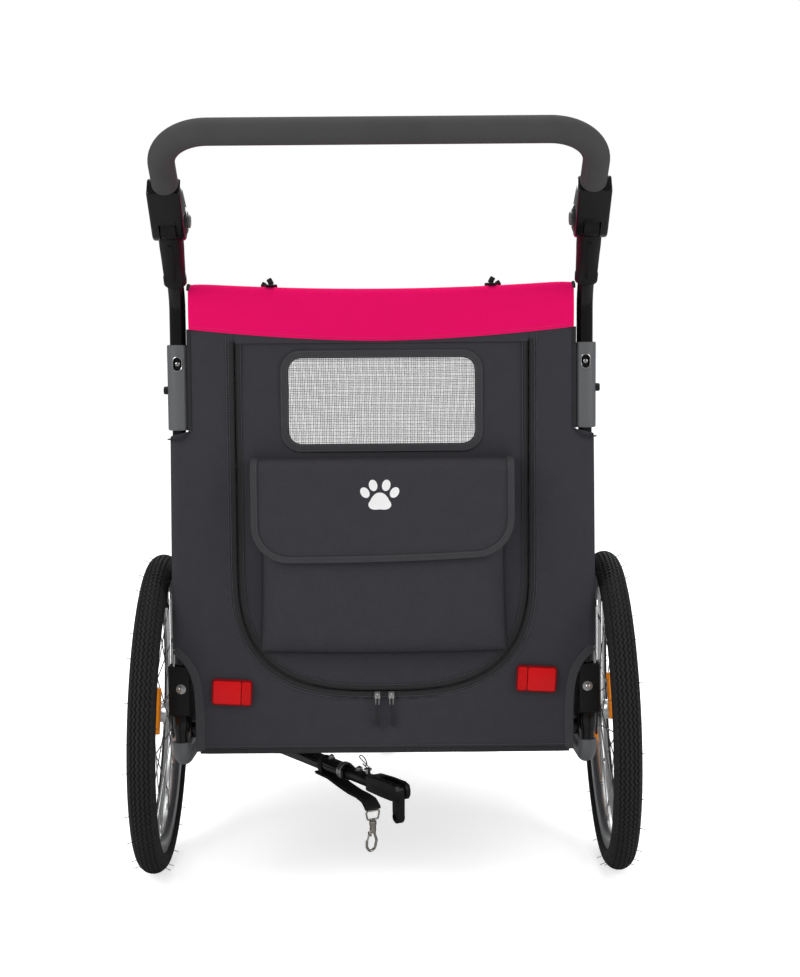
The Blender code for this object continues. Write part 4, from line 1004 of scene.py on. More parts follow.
def makeRearPanel():
    crescent = []
    for j in range(5):
        row = []
        for i in range(41):
            x = door["half"] * (i / 20 - 1)
            low = door["hingeZ"] - 0.0012
            row.append(rearPlace(x, low + (seamLine(x) - low) * j / 4, 0.0026 * (1 - j / 4)))
        crescent.append(row)
    mesh = joined("rear_panel_cloth", [rearHalf(-1), rearHalf(1), meshFromRows("strip", crescent)])
    facing(tidied(mesh, 0.00005), (0, -1, 0))
    clothUv(mesh)
    panel = piece("rear_panel_cloth", thick(mesh, cabin["cloth"]), "chassis", charcoal,
                  ["rear_panel"], "charcoal_cloth")
    trims, corners = [], []
    for name, s in sides:
        cut = [(s * x, z) for x, z in cornerCut()]
        path = evenly([rearPlace(x, z) - Vector((0, 0.0008, 0)) for x, z in cut], 0.006)
        corners.append(sweep("corner", path, bandSection(0.0125, 0.0018), (0, -1, 0)))
        wrapRun = [rearPlace(s * (uprightX(cabin["notch"] - 0.01) + a), cabin["notch"] - 0.010)
                   for a in np.linspace(-0.004, 0.036, 12)]
        notchX = s * rearPanel["notchX"]
        slant = [rearPlace(notchX, cabin["notch"] + 0.003), wrapRun[0]]
        around = [p + Vector((s * 0.0006, -0.0006, 0)) for p in slant + wrapRun[1:]]
        trims.append(sweep("trim", around, bandSection(0.008, 0.0014), (0, 0, 1)))
        top = [rearPlace(notchX, seamLine(notchX)), rearPlace(notchX, cabin["notch"] + 0.004)]
        trims.append(sweep("trim", [p - Vector((0, 0.0004, 0)) for p in evenly(top, 0.01)],
                           bandSection(0.006, 0.0012), (0, -1, 0)))
        sew("chassis", "dark", [rearPlace(x - s * 0.0065, z) - Vector((0, 0.0009, 0))
                                for x, z in cut])
        sew("chassis", "dark", [rearPlace(s * x, z) - Vector((0, 0.0009, 0))
                                for x, z in doorPath(-0.0125, cabin["seam"] + 0.008)[:36]])
    hem = [rearPlace(x, cabin["hem"]) - Vector((0, 0.0006, 0))
           for x in np.linspace(-cabin["cornerX"], cabin["cornerX"], 90)]
    trims.append(sweep("trim", hem, bandSection(0.007, 0.0016), (0, -1, 0)))
    trim = piece("rear_panel_binding", joined("rear_panel_binding", trims), "chassis", zipCloth)
    clothUv(trim.data)
    sew("chassis", "dark", [p + Vector((0, -0.0003, 0.0075)) for p in hem])
    edging = piece("rear_corner_binding", joined("corners", corners), "chassis", binding)
    clothUv(edging.data)


roof = {"columns": 90, "rows": 96, "sag": 0.004, "rearRadius": 0.011, "edgeRoll": 0.003}


def roofPlace(u, v):
    half = cabin["topHalf"] + 0.0015
    x = half * (2 * u - 1)
    start, turnY = cabin["roofFront"] - 0.004, cabin["rear"] + roof["rearRadius"]
    roll = roof["edgeRoll"] * abs(2 * u - 1) ** 24
    crease = billow(x, v * 0.6, 0.0016, 11.0) * ease(min(u, 1 - u) * 14)
    if v < 0.72:
        y = start + (turnY - start) * v / 0.72
        sag = roof["sag"] * math.sin(math.pi * v / 0.72) * math.cos(x / half * math.pi / 2)
        return at(x, y, roofZ(x, y) - sag - roll + crease * ease((0.72 - v) * 12))
    top = roofZ(x, turnY) - roll
    if v < 0.82:
        a = (v - 0.72) / 0.10 * math.pi / 2
        r = roof["rearRadius"]
        return at(x, turnY - r * math.sin(a), top - r + r * math.cos(a))
    low = seamLine(x)
    t = (v - 0.82) / 0.18
    bulge = 0.0022 * math.sin(math.pi * t) + crease * 0.6 * math.sin(math.pi * t)
    return at(x, cabin["rear"] - 0.0006 - bulge, top - roof["rearRadius"]
              + (low - top + roof["rearRadius"]) * t)


def makeRoof():
    mesh = facing(gridMesh("roof_cloth", roofPlace, roof["columns"], roof["rows"]), (0, 0, 1))
    clothUv(mesh)
    canopy = piece("roof_cloth", thick(mesh, cabin["cloth"]), "chassis", pink, ["roof_panel"],
                   "pink_cloth")
    trims = []
    for s in (-1, 1):
        edge = [roofPlace(0.5 + s * 0.5, v) for v in np.linspace(0, 0.80, 70)]
        trims.append(tubeMesh("trim", edge, 0.0024, 10))
    front = [roofPlace(u, 0.0) for u in np.linspace(0, 1, 60)]
    trims.append(tubeMesh("trim", front, 0.0024, 10))
    piping = piece("roof_piping", joined("roof_piping", trims), "chassis", zipCloth)
    clothUv(piping.data)
    sew("chassis", "pink", [at(x, cabin["rear"] - 0.0011, seamLine(x) + 0.0045)
                            for x in np.linspace(-0.279, 0.279, 80)])
    sew("chassis", "pink", [roofPlace(u, 0.014) + Vector((0, 0, 0.0004))
                            for u in np.linspace(0.02, 0.98, 50)])


def raised(path, step):
    # more points on each straight run, with its corners kept
    out = []
    for a, b in zip(path, path[1:] + path[:1]):
        parts = max(1, round(math.dist(a, b) / step))
        out += [(a[0] + (b[0] - a[0]) * k / parts, a[1] + (b[1] - a[1]) * k / parts)
                for k in range(parts)]
    return out


def rayTo(outline, centre, toward):
    # where the ray from the centre crosses the outline
    dx, dy = toward[0] - centre[0], toward[1] - centre[1]
    best = None
    for a, b in zip(outline, outline[1:] + outline[:1]):
        ex, ey = b[0] - a[0], b[1] - a[1]
        det = ex * dy - ey * dx
        if abs(det) < 1e-12:
            continue
        t = (ex * (a[1] - centre[1]) - ey * (a[0] - centre[0])) / det
        s = (dx * (a[1] - centre[1]) - dy * (a[0] - centre[0])) / det
        if t > 0 and -1e-9 <= s <= 1 + 1e-9 and (best is None or t < best):
            best = t
    return (centre[0] + dx * best, centre[1] + dy * best)


def windowed(name, outline, hole, centre, rings, place):
    # a sheet with a window in it: rings from the window's edge to the sheet's edge
    outer = raised([tuple(p) for p in outline], 0.008)
    ring = [tuple(p) for p in hole]
    inner = [rayTo(ring, centre, p) for p in outer]
    points, faces = [], []
    n = len(outer)
    for j in range(rings + 1):
        t = j / rings
        for p, q in zip(inner, outer):
            points.append(place(p[0] + (q[0] - p[0]) * t, p[1] + (q[1] - p[1]) * t, t))
    for j in range(rings):
        for i in range(n):
            k = (i + 1) % n
            faces.append((j * n + i, j * n + k, (j + 1) * n + k, (j + 1) * n + i))
    return meshFrom(name, points, faces)


def rounded(x0, x1, z0, z1, radius, steps=8):
    return [tuple(p) for p in arcCorners([(x0, z0), (x1, z0), (x1, z1), (x0, z1)], radius, steps)]


def netAt(name, width, height, place, body, replaced, ripple=0.0006):
    # an open net in the place's x, z plane, gently rippled
    base = bpy.data.meshes.new("seed")
    mesh = grown(name, base, "net", {"Width": width, "Height": height, "Pitch": 0.0026,
                                     "Thread": 0.00045, "Material": netThread})
    for v in mesh.vertices:
        x, z = v.co.x, v.co.z
        v.co.y += ripple * noise.noise(Vector((x * 14, z * 14, 2.0)))
        v.co.x += 0.0007 * noise.noise(Vector((x * 9, z * 22, 6.0)))
        v.co.z += 0.0007 * noise.noise(Vector((x * 22, z * 9, 8.0)))
        v.co = place(v.co)
    return piece(name, mesh, body, netThread, [replaced], "mesh", smooth=False)


window = {"half": 0.137, "low": 0.676, "high": 0.802, "corner": 0.018, "bind": 0.0125}


def makeDoor():
    centre = (0.0, (window["low"] + window["high"]) / 2)
    hole = rounded(-window["half"], window["half"], window["low"], window["high"],
                   window["corner"])

    def place(x, z, t):
        swell = billow(x, z, 0.0018, 21.0) * ease(t * 5) * ease((1 - t) * 5)
        return at(x, cabin["rear"] - swell, z)

    outline = doorPath(0.0012, door["hingeZ"])[::-1]
    mesh = facing(windowed("rear_door_cloth", outline, hole, centre, 34, place), (0, -1, 0))
    clothUv(mesh)
    sheetPiece = piece("rear_door_cloth", thick(mesh, cabin["cloth"]), "rear_door", charcoal,
                       ["rear_door"], "charcoal_cloth")
    mid = Vector((0, cabin["rear"] + axleY + 0.0014, centre[1]))
    net = netAt("rear_window_net", 2 * window["half"] + 0.006,
                window["high"] - window["low"] + 0.006, lambda co: co + mid, "rear_door",
                "rear_mesh")
    w, b = window, window["bind"]
    ring = rounded(-w["half"] - b / 2, w["half"] + b / 2, w["low"] - b / 2, w["high"] + b / 2,
                   w["corner"] + b / 2, 10)
    path = [at(x, cabin["rear"] - 0.0004, z) for x, z in raised(ring, 0.012)]
    frameBand = sweep("rear_window_binding", path, bandSection(b, 0.0022), (0, -1, 0), closed=True)
    clothUv(frameBand)
    band = piece("rear_window_binding", frameBand, "rear_door", binding, slot="charcoal_cloth")
    for inset in (0.0022, b - 0.0022):
        line = rounded(-w["half"] - inset, w["half"] + inset, w["low"] - inset, w["high"] + inset,
                       w["corner"] + inset, 8)
        sew("rear_door", "dark", [at(x, cabin["rear"] - 0.0026, z) for x, z in line + line[:1]])


zipper = {"tape": 0.0085, "pitch": 0.0019, "tooth": (0.0030, 0.0014, 0.0011)}


def makeZip():
    top = cabin["seam"] - 0.001
    y = cabin["rear"] - 0.0007
    for body, inset, node in (("chassis", -0.0046, "outer"), ("rear_door", 0.0046, "inner")):
        path = [at(x, y, z) for x, z in doorPath(inset, top)]
        tape = sweep("zip_tape_" + node, evenly(path, 0.006), bandSection(zipper["tape"], 0.0011),
                     (0, -1, 0))
        clothUv(tape)
        piece("zip_tape_" + node, tape, body, zipCloth, slot="charcoal_cloth")
        rail = [at(x, y - 0.0012, z) for x, z in doorPath(inset * 0.14, top)]
        teeth = grown("zip_teeth_" + node, curveOf([rail]), "bars",
                      {"Pitch": zipper["pitch"], "Bar": zipper["tooth"], "Material": zipTooth})
        piece("zip_teeth_" + node, teeth, body, zipTooth, slot="moulded_black", smooth=False)
        offset = -0.0088 if body == "chassis" else 0.0088
        sew(body, "dark", [at(x, y - 0.0013, z) for x, z in doorPath(offset, top)])


def makeSliders():
    for name, s in sides:
        x = s * 0.0105
        z = door["bottom"] - 0.001
        face = cabin["rear"] - 0.0004
        body = block("slider", at(x - 0.0045, face - 0.0052, z - 0.0115), at(x + 0.0045, face, z),
                     bevel=0.0012)
        bridge = sweep("bridge", arcCorners([at(x, face - 0.0048, z - 0.001),
                                             at(x, face - 0.0078, z - 0.003),
                                             at(x, face - 0.0078, z - 0.009),
                                             at(x, face - 0.0048, z - 0.0105)], 0.0015, 4,
                                            closed=False), ringSection(0.0008, 8), (1, 0, 0))
        ring = sweep("ring", arcCorners([at(x - 0.0026, face - 0.0060, z - 0.009),
                                         at(x + 0.0026, face - 0.0060, z - 0.009),
                                         at(x + 0.0022, face - 0.0050, z - 0.020),
                                         at(x - 0.0022, face - 0.0050, z - 0.020)], 0.0015, 5),
                     ringSection(0.0007, 8), (0, -1, 0), closed=True)
        piece(name + "_zip_slider_body", joined("slider", [body, bridge, ring]),
              name + "_zip_slider", steel, [name + "_zip_slider"], "steel")
        cordRun = [at(x, face - 0.0052, z - 0.017), at(x + s * 0.0006, face - 0.0046, z - 0.030),
                   at(x + s * 0.0012, face - 0.0042, z - 0.048)]
        cordMesh = tubeMesh("pull", evenly(cordRun, 0.003), 0.0018, 10)
        knot = spun("knot", [(0.0, 0.0), (0.0022, 0.0006), (0.0026, 0.004), (0.0021, 0.0085),
                             (0.0, 0.0095)],
                    frameOf(at(x + s * 0.0012, face - 0.0042, z - 0.044), (0, 0, -1)), 14)
        pull = joined("pull", [cordMesh, knot])
        clothUv(pull)
        piece(name + "_zip_pull", pull, name + "_zip_slider", webbing, slot="webbing")


pocket = {"half": 0.182, "low": 0.367, "high": 0.650, "depth": 0.0365, "bind": 0.0045}


def pocketPlace(u, v):
    t = math.sin((2 * u - 1) * math.pi / 2)
    x = pocket["half"] * t
    w = 1 - math.cos(v * math.pi / 2)
    z = pocket["low"] + (pocket["high"] - pocket["low"]) * w
    side = max(0.0, 1 - abs(t) ** 9) ** 0.42
    foot = max(0.0, 1 - (1 - w) ** 15) ** 0.45
    sagged = 1.0 - 0.16 * ease(w * 1.2) + 0.05 * math.sin(math.pi * w)
    depth = pocket["depth"] * side * foot * sagged
    crease = billow(x, z, 0.0022, 31.0) * side * foot
    drag = -0.0025 * math.cos(x / pocket["half"] * math.pi / 2) * (1 - w)
    tuck = 0.004 * math.sin(math.pi * w) * t
    return at(x - tuck, cabin["rear"] - 0.0004 - depth - crease, z + drag)


def makePocket():
    mesh = facing(gridMesh("pocket_bag", pocketPlace, 72, 56), (0, -1, 0))
    clothUv(mesh)
    bag = piece("pocket_bag", thick(mesh, cabin["cloth"]), "rear_door", charcoal, ["pocket"],
                "charcoal_cloth")
    around = [(0.0, v) for v in np.linspace(1, 0, 30)] + [(u, 0.0) for u in np.linspace(0, 1, 60)]
    around += [(1.0, v) for v in np.linspace(0, 1, 30)]
    path = [pocketPlace(u, v) - Vector((0, 0.0008, 0)) for u, v in around]
    clean = [path[0]] + [b for a, b in zip(path, path[1:]) if (b - a).length > 0.0008]
    lower = sweep("trim", clean, bandSection(0.0055, 0.0026), (0, -1, 0))
    mouthPath = [pocketPlace(u, 1.0) - Vector((0, 0.0006, 0.004)) for u in np.linspace(0, 1, 60)]
    mouth = sweep("trim", mouthPath, bandSection(0.010, 0.0012), (0, -1, 0))
    trim = piece("pocket_binding", joined("pocket_binding", [lower, mouth]), "rear_door", zipCloth,
                 slot="charcoal_cloth")
    clothUv(trim.data)


flap = {"half": 0.193, "low": 0.505, "corner": 0.055, "bind": 0.0105, "turn": 0.017}


def flapProfile():
    # the flap's section in y, z: off the door, over the pocket's top, down its front
    face = cabin["rear"] - 0.0006
    out = cabin["rear"] - pocket["depth"] - 0.0022
    top = pocket["high"] + 0.0052
    points = [(face, top, 0), (out, top - 0.0015, 0), (out - 0.001, flap["low"], 0)]
    return evenly(arcCorners(points, flap["turn"], 10, closed=False), 0.003)


flapRun = flapProfile()
flapLength = lengthOf(flapRun)


def flapPlace(u, v, lift=0.0):
    run = v * flapLength
    left = flapLength - run
    r = flap["corner"]
    half = flap["half"]
    if left < r:
        half = half - r + math.sqrt(max(0.0, r * r - (r - left) ** 2))
    x = half * (2 * u - 1)
    index = v * (len(flapRun) - 1)
    k = min(int(index), len(flapRun) - 2)
    y, z = (np.array(flapRun[k]) + (np.array(flapRun[k + 1]) - np.array(flapRun[k]))
            * (index - k))[:2]
    hang = ease((v - 0.15) * 2)
    swell = (0.0022 * math.sin(math.pi * u) + billow(x, z, 0.0015, 41.0)) * hang
    skew = 0.0045 * (x / flap["half"]) * hang ** 2
    smile = 0.0035 * (x / flap["half"]) ** 2 * hang
    return at(x, y - swell - lift, z + skew + smile)


def makeFlap():
    mesh = facing(gridMesh("pocket_flap_cloth", flapPlace, 70, 60), (0, -1, 0))
    clothUv(mesh)
    cover = piece("pocket_flap_cloth", thick(mesh, cabin["cloth"]), "pocket_flap", charcoal,
                  ["pocket_flap"], "charcoal_cloth")

    def edgeRun(back):
        # the flap's free edge, the given distance inside it
        inset = back / (2 * flap["half"])
        cut = back / flapLength
        pts = [(0.0 + inset, v) for v in np.linspace(0.02, 1 - flap["corner"] / flapLength, 40)]
        r = flap["corner"]
        for k in range(1, 13):
            a = math.pi / 2 * k / 12
            v = 1 - (r - (r - back) * math.sin(a)) / flapLength
            half = flap["half"]
            left = (1 - v) * flapLength
            wide = half - r + math.sqrt(max(1e-9, r * r - (r - left) ** 2)) if left < r else half
            x = -(half - r + (r - back) * math.cos(a))
            pts.append(((x / wide + 1) / 2, v))
        v = 1 - cut
        left = back
        wide = flap["half"] - r + math.sqrt(r * r - (r - left) ** 2)
        reach = flap["half"] - r
        pts += [((x / wide + 1) / 2, v) for x in np.linspace(-reach, reach, 50)[1:-1]]
        pts += [(1 - u, w) for u, w in reversed(pts[:52])]
        return pts

    path = [flapPlace(u, v, 0.0005) for u, v in edgeRun(flap["bind"] / 2)]
    strip = sweep("pocket_flap_binding", path, bandSection(flap["bind"], 0.0020), (0, -1, 0))
    clothUv(strip)
    trim = piece("pocket_flap_binding", strip, "pocket_flap", binding, slot="charcoal_cloth")
    sew("pocket_flap", "dark", [flapPlace(u, v, 0.0026) for u, v in edgeRun(flap["bind"] - 0.002)])


paw = {"x": -0.004, "z": 0.597, "pad": 0.0155, "toe": 0.0062, "ring": 0.0245}


def makePaw():
    # a plain printed paw: a rounded pad and four toes
    shapes = []
    pad = []
    for k in range(48):
        a = 2 * math.pi * k / 48
        lobe = 0.16 if math.sin(a) < 0.3 else 0.096
        r = paw["pad"] * (1 - lobe * math.cos(3 * a - math.pi / 2))
        pad.append((r * math.cos(a), r * 0.82 * math.sin(a) - 0.004))
    shapes.append(pad)
    for angle in (152, 113, 67, 28):
        a = math.radians(angle)
        cx, cz = paw["ring"] * math.cos(a), paw["ring"] * math.sin(a) * 0.95 - 0.001
        tilt = math.radians(angle - 90) * 0.55
        toe = []
        for k in range(28):
            b = 2 * math.pi * k / 28
            ex, ez = paw["toe"] * math.cos(b), paw["toe"] * 1.35 * math.sin(b)
            toe.append((cx + ex * math.cos(tilt) - ez * math.sin(tilt),
                        cz + ex * math.sin(tilt) + ez * math.cos(tilt)))
        shapes.append(toe)
    bm = bmesh.new()
    for outline in shapes:
        verts = [bm.verts.new(at(paw["x"] + x, 0, paw["z"] + z)) for x, z in outline]
        bmesh.ops.poke(bm, faces=[bm.faces.new(verts)])
    bmesh.ops.subdivide_edges(bm, edges=bm.edges, cuts=3, use_grid_fill=True)
    for v in bm.verts:
        u = (v.co.x / flap["half"] + 1) / 2
        low, high = 0.2, 0.98
        for _ in range(18):
            mid = (low + high) / 2
            if flapPlace(u, mid).z > v.co.z:
                low = mid
            else:
                high = mid
        v.co.y = flapPlace(u, low).y - 0.0005
    mesh = facing(fromBmesh("paw_print", bm), (0, -1, 0))
    piece("paw_print", thick(mesh, 0.0004), "pocket_flap", paint)


sideWindow = {"y0": 0.020, "y1": 0.380, "z0": 0.500, "z1": 0.800, "corner": 0.030, "bind": 0.016}


def sideTop(y):
    line = cabin["roofFrontZ"] - (y + 0.0035 - cabin["roofFront"]) * cabin["slope"]
    return min(roofZ(cabin["topHalf"], min(y, cabin["roofFront"])) - 0.0024, line)


def makeSides():
    w = sideWindow
    rear, front = cabin["rear"] + 0.0024, cabin["front"] - 0.0035
    wrapEdge = cabin["uprightY"] + cabin["wrap"] + 0.0004
    peak = cabin["roofFront"] - 0.006
    outline = [(rear, sideTop(rear)), (rear, cabin["notch"] + 0.004),
               (wrapEdge, cabin["notch"] - 0.010), (wrapEdge, 0.362), (-0.050, 0.362),
               (0.035, 0.300), (0.035, cabin["hem"]), (front, cabin["hem"]),
               (front, cabin["knee"]), (peak, sideTop(peak))]
    outline += [(y, sideTop(y)) for y in np.linspace(peak, rear, 20)[1:-1]]
    hole = rounded(w["y0"], w["y1"], w["z0"], w["z1"], w["corner"], 8)
    centre = ((w["y0"] + w["y1"]) / 2, (w["z0"] + w["z1"]) / 2)
    for name, s in sides:
        def place(y, z, t, s=s):
            swell = (0.004 * math.sin(math.pi * ease((z - cabin["hem"]) / 0.68))
                     + billow(y, z, 0.0022, 50.0 + s)) * ease((1 - t) * 4) * ease(t * 5)
            return at(s * (cabinHalf(z) + swell), y, z)

        mesh = windowed(name + "_side_cloth", outline, hole, centre, 30, place)
        facing(mesh, (s, 0, 0))
        clothUv(mesh)
        panel = piece(name + "_side_cloth", thick(mesh, cabin["cloth"]), "chassis", charcoal,
                      [name + "_side_panel"], "charcoal_cloth")

        def netPlace(co, s=s):
            y, z = centre[0] + co.x, centre[1] + co.z
            return at(s * (cabinHalf(z) - 0.0012 + co.y * 0.5), y, z)

        net = netAt(name + "_side_net", w["y1"] - w["y0"] + 0.010, w["z1"] - w["z0"] + 0.010,
                    netPlace, "chassis", name + "_side_mesh")
        b = w["bind"]
        ring = rounded(w["y0"] - b / 2, w["y1"] + b / 2, w["z0"] - b / 2, w["z1"] + b / 2,
                       w["corner"] + b / 2, 10)
        path = [at(s * (cabinHalf(z) + 0.0006), y, z) for y, z in raised(ring, 0.012)]
        strips = [sweep("band", path, bandSection(b, 0.0024), (s, 0, 0), closed=True)]
        low = [(y, cabin["hem"] + 0.001) for y in np.linspace(0.035, front, 50)]
        arch = [(wrapEdge, 0.362), (-0.050, 0.362), (0.035, 0.300), (0.035, cabin["hem"])]
        arch = [tuple(p) for p in arcCorners(arch, 0.02, 6, closed=False)]
        for run in (low, evenly(arch, 0.006)):
            strips.append(sweep("band", [at(s * (cabinHalf(z) + 0.0004), y, z) for y, z in run],
                                bandSection(0.009, 0.0018), (s, 0, 0)))
        slopeRun = [(front, cabin["hem"]), (front, cabin["knee"]), (peak, sideTop(peak))]
        slopePath = [at(s * (cabinHalf(z) + 0.001), y + 0.0015, z)
                     for y, z in evenly(slopeRun, 0.01)]
        strips.append(tubeMesh("band", slopePath, 0.0026, 10))
        trim = piece(name + "_side_binding", joined("band", strips), "chassis", binding,
                     slot="charcoal_cloth")
        clothUv(trim.data)
        for inset in (0.0026, b - 0.0026):
            line = rounded(w["y0"] - inset, w["y1"] + inset, w["z0"] - inset, w["z1"] + inset,
                           w["corner"] + inset, 8)
            sew("chassis", "dark", [at(s * (cabinHalf(z) + 0.0032), y, z)
                                    for y, z in raised(line + line[:1], 0.02)])


frontWindow = {"half": 0.200, "z0": 0.430, "z1": 0.835, "corner": 0.028, "bind": 0.018}


def frontPlace(x, run, lift=0.0):
    # run is measured up the front cloth from its hem
    upright = cabin["knee"] - cabin["hem"]
    if run <= upright:
        return at(x, cabin["front"] + lift, cabin["hem"] + run)
    t = (run - upright) / cabin["slopeLength"]
    y = cabin["front"] + (cabin["roofFront"] - cabin["front"]) * t
    z = cabin["knee"] + (cabin["roofFrontZ"] - cabin["knee"]) * t
    tilt = math.atan2(cabin["front"] - cabin["roofFront"], cabin["roofFrontZ"] - cabin["knee"])
    return at(x, y, z) + Vector((0, math.cos(tilt), math.sin(tilt))) * lift


def frontRun(z):
    upright = cabin["knee"] - cabin["hem"]
    if z <= cabin["knee"]:
        return z - cabin["hem"]
    share = (z - cabin["knee"]) / (cabin["roofFrontZ"] - cabin["knee"])
    return upright + share * cabin["slopeLength"]


def makeFront():
    w = frontWindow
    top = frontRun(cabin["roofFrontZ"] - 0.004)
    rise = [(cabinHalf(cabin["hem"]), 0.0), (cabinHalf(cabin["knee"]), frontRun(cabin["knee"])),
            (cabinHalf(0.6), frontRun(0.6)), (cabinHalf(0.88) + 0.001, top)]
    outline = rise + [(-x, run) for x, run in reversed(rise)]
    q0, q1 = frontRun(w["z0"]), frontRun(w["z1"])
    hole = rounded(-w["half"], w["half"], q0, q1, w["corner"], 8)
    centre = (0.0, (q0 + q1) / 2)

    def place(x, run, t):
        swell = billow(x, run, 0.0022, 71.0) * ease((1 - t) * 5) * ease(t * 5)
        return frontPlace(x, run, swell)

    mesh = facing(windowed("front_cloth", outline, hole, centre, 30, place), (0, 1, 0.4))
    clothUv(mesh)
    panel = piece("front_cloth", thick(mesh, cabin["cloth"]), "chassis", charcoal,
                  ["front_panel"], "charcoal_cloth")
    net = netAt("front_net", 2 * w["half"] + 0.010, q1 - q0 + 0.010,
                lambda co: frontPlace(co.x, centre[1] + co.z, -0.0014 + co.y), "chassis",
                "front_mesh")
    b = w["bind"]
    ring = rounded(-w["half"] - b / 2, w["half"] + b / 2, q0 - b / 2, q1 + b / 2,
                   w["corner"] + b / 2, 10)
    normal = frontPlace(0, 0.4, 1.0) - frontPlace(0, 0.4)
    path = [frontPlace(x, run, 0.0003) for x, run in raised(ring, 0.012)]
    strips = [sweep("band", path, bandSection(b, 0.0024), normal, closed=True)]
    hem = [frontPlace(x, 0.002, 0.0003) for x in np.linspace(-0.31, 0.31, 60)]
    strips.append(sweep("band", hem, bandSection(0.009, 0.0018), (0, 1, 0)))
    trim = piece("front_binding", joined("band", strips), "chassis", binding,
                 slot="charcoal_cloth")
    clothUv(trim.data)
    for inset in (0.0026, b - 0.0026):
        line = rounded(-w["half"] - inset, w["half"] + inset, q0 - inset, q1 + inset,
                       w["corner"] + inset, 8)
        sew("chassis", "dark", [frontPlace(x, run, 0.0028) for x, run in line + line[:1]])


mat = {"voxel": 0.006, "pressure": 4.0, "cap": 0.005, "frames": 20, "inset": 0.004}


def makeFloorMat():
    low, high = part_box("floor_mat")
    inset = Vector((mat["inset"], mat["inset"], 0.0055))
    bm = bmesh.new()
    bmesh.ops.create_cube(bm, size=1.0)
    size = high - low - inset * 2
    bmesh.ops.scale(bm, vec=size, verts=bm.verts)
    bmesh.ops.bevel(bm, geom=bm.edges[:], offset=0.004, segments=2, affect='EDGES')
    bmesh.ops.translate(bm, vec=(low + high) / 2 - Vector((0, 0, 0.002)), verts=bm.verts)
    mesh = withModifiers(fromBmesh("mat", bm), ("REMESH", {"mode": 'VOXEL',
                                                          "voxel_size": mat["voxel"]}))
    start = np.array([v.co for v in mesh.vertices])
    obj = bpy.data.objects.new("mat_work", mesh)
    bpy.context.scene.collection.objects.link(obj)
    clothMod = obj.modifiers.new("cloth", 'CLOTH')
    clothMod.settings.use_pressure = True
    clothMod.settings.uniform_pressure_force = mat["pressure"]
    clothMod.settings.effector_weights.gravity = 0.0
    scene = bpy.context.scene
    clothMod.point_cache.frame_start = 1
    clothMod.point_cache.frame_end = mat["frames"]
    for k in range(1, mat["frames"] + 1):
        scene.frame_set(k)
    graph = bpy.context.evaluated_depsgraph_get()
    puffed = bpy.data.meshes.new_from_object(obj.evaluated_get(graph))
    bpy.data.objects.remove(obj)
    scene.frame_set(1)
    moved = np.array([v.co for v in puffed.vertices]) - start
    far = np.linalg.norm(moved, axis=1)[:, None]
    moved *= np.minimum(1.0, mat["cap"] / np.maximum(far, 1e-9))
    mesh = puffed
    spots = start + moved
    mid = (np.array(low) + np.array(high)) / 2
    for v, p in zip(mesh.vertices, spots):
        # quilting channels, pressed in every 120 mm, after the pad has swollen
        for axis, every in ((0, 0.116), (1, 0.118)):
            d = (p[axis] - mid[axis]) / every
            gap = abs(d - round(d)) * every
            share = math.exp(-(gap / 0.006) ** 2)
            p[2] -= 0.0035 * share * (1 if p[2] > mid[2] else 0)
        v.co = (min(max(p[0], low.x + 0.0005), high.x - 0.0005),
                min(max(p[1], low.y + 0.0005), high.y - 0.0005),
                min(max(p[2], low.z + 0.0002), high.z - 0.0003))
    clothUv(mesh)
    pad = piece("floor_pad", mesh, "chassis", matCloth, ["floor_mat"], "mat")


reflector = {"wide": 0.061, "high": 0.040, "deep": 0.0075, "tilt": 3.0}


def makeReflectors():
    for name, s in sides:
        node = name + "_rear_reflector"
        centre = midOf(node)
        turn = Matrix.Translation(centre) @ Matrix.Rotation(math.radians(reflector["tilt"]), 4, 'Y')
        place = turn @ xzPlane
        w, h = reflector["wide"] / 2, reflector["high"] / 2
        back = slab("back", rounded(-w, w, -h, h, 0.006), 0.003,
                    place @ Matrix.Translation((0, 0, -0.0015)), 0.0006)
        split = w - 0.0165 if s < 0 else -w + 0.0165
        lens = []
        for x0, x1 in ((-w + 0.0026, split - 0.0004), (split + 0.0004, w - 0.0026)):
            lens.append(slab("lens", rounded(x0, x1, -h + 0.0026, h - 0.0026, 0.0035), 0.0042,
                             place @ Matrix.Translation((0, 0, 0.0014)), 0.0012, 3))
        for k in range(6):
            x = split + (1 if s < 0 else -1) * (0.0024 + 0.0022 * k)
            lens.append(block("flute", (x - 0.0006, -h + 0.004, 0.0030),
                              (x + 0.0006, h - 0.004, 0.0040), place, 0.0004))
        piece(node + "_lens", joined("lens", lens), "chassis", redLens, [node], "red_lens")
        piece(node + "_back", back, "chassis", redLensRim, slot="red_lens")


def makeRoofClips():
    # a small cord toggle at each side, on the roof's rear edge
    parts = []
    for s in (-1, 1):
        x = s * 0.163
        top = roofZ(x, cabin["rear"] + 0.02)
        y = cabin["rear"] + 0.022
        parts.append(block("toggle", at(x - 0.010, y - 0.006, top - 0.001),
                           at(x + 0.010, y + 0.006, top + 0.0045), bevel=0.0018))
        horn = frameOf(at(x - s * 0.002, y, top + 0.004), (s * 0.55, 0, 1))
        parts.append(block("horn", (-0.0035, -0.004, 0), (0.0035, 0.004, 0.010), horn, 0.0015))
        parts.append(block("horn", (-0.0030, -0.004, 0), (0.0030, 0.004, 0.007),
                           frameOf(at(x + s * 0.007, y, top + 0.002), (s * 0.9, 0, 0.5)), 0.0013))
        strap = [at(x, y + d, roofZ(x, y + d) + 0.0012) for d in np.linspace(-0.020, 0.075, 12)]
        parts.append(sweep("strap", strap, bandSection(0.012, 0.0014), (0, 0, 1)))
    mesh = joined("roof_clips", parts)
    piece("roof_clips", mesh, "chassis", moulded, slot="moulded_black")


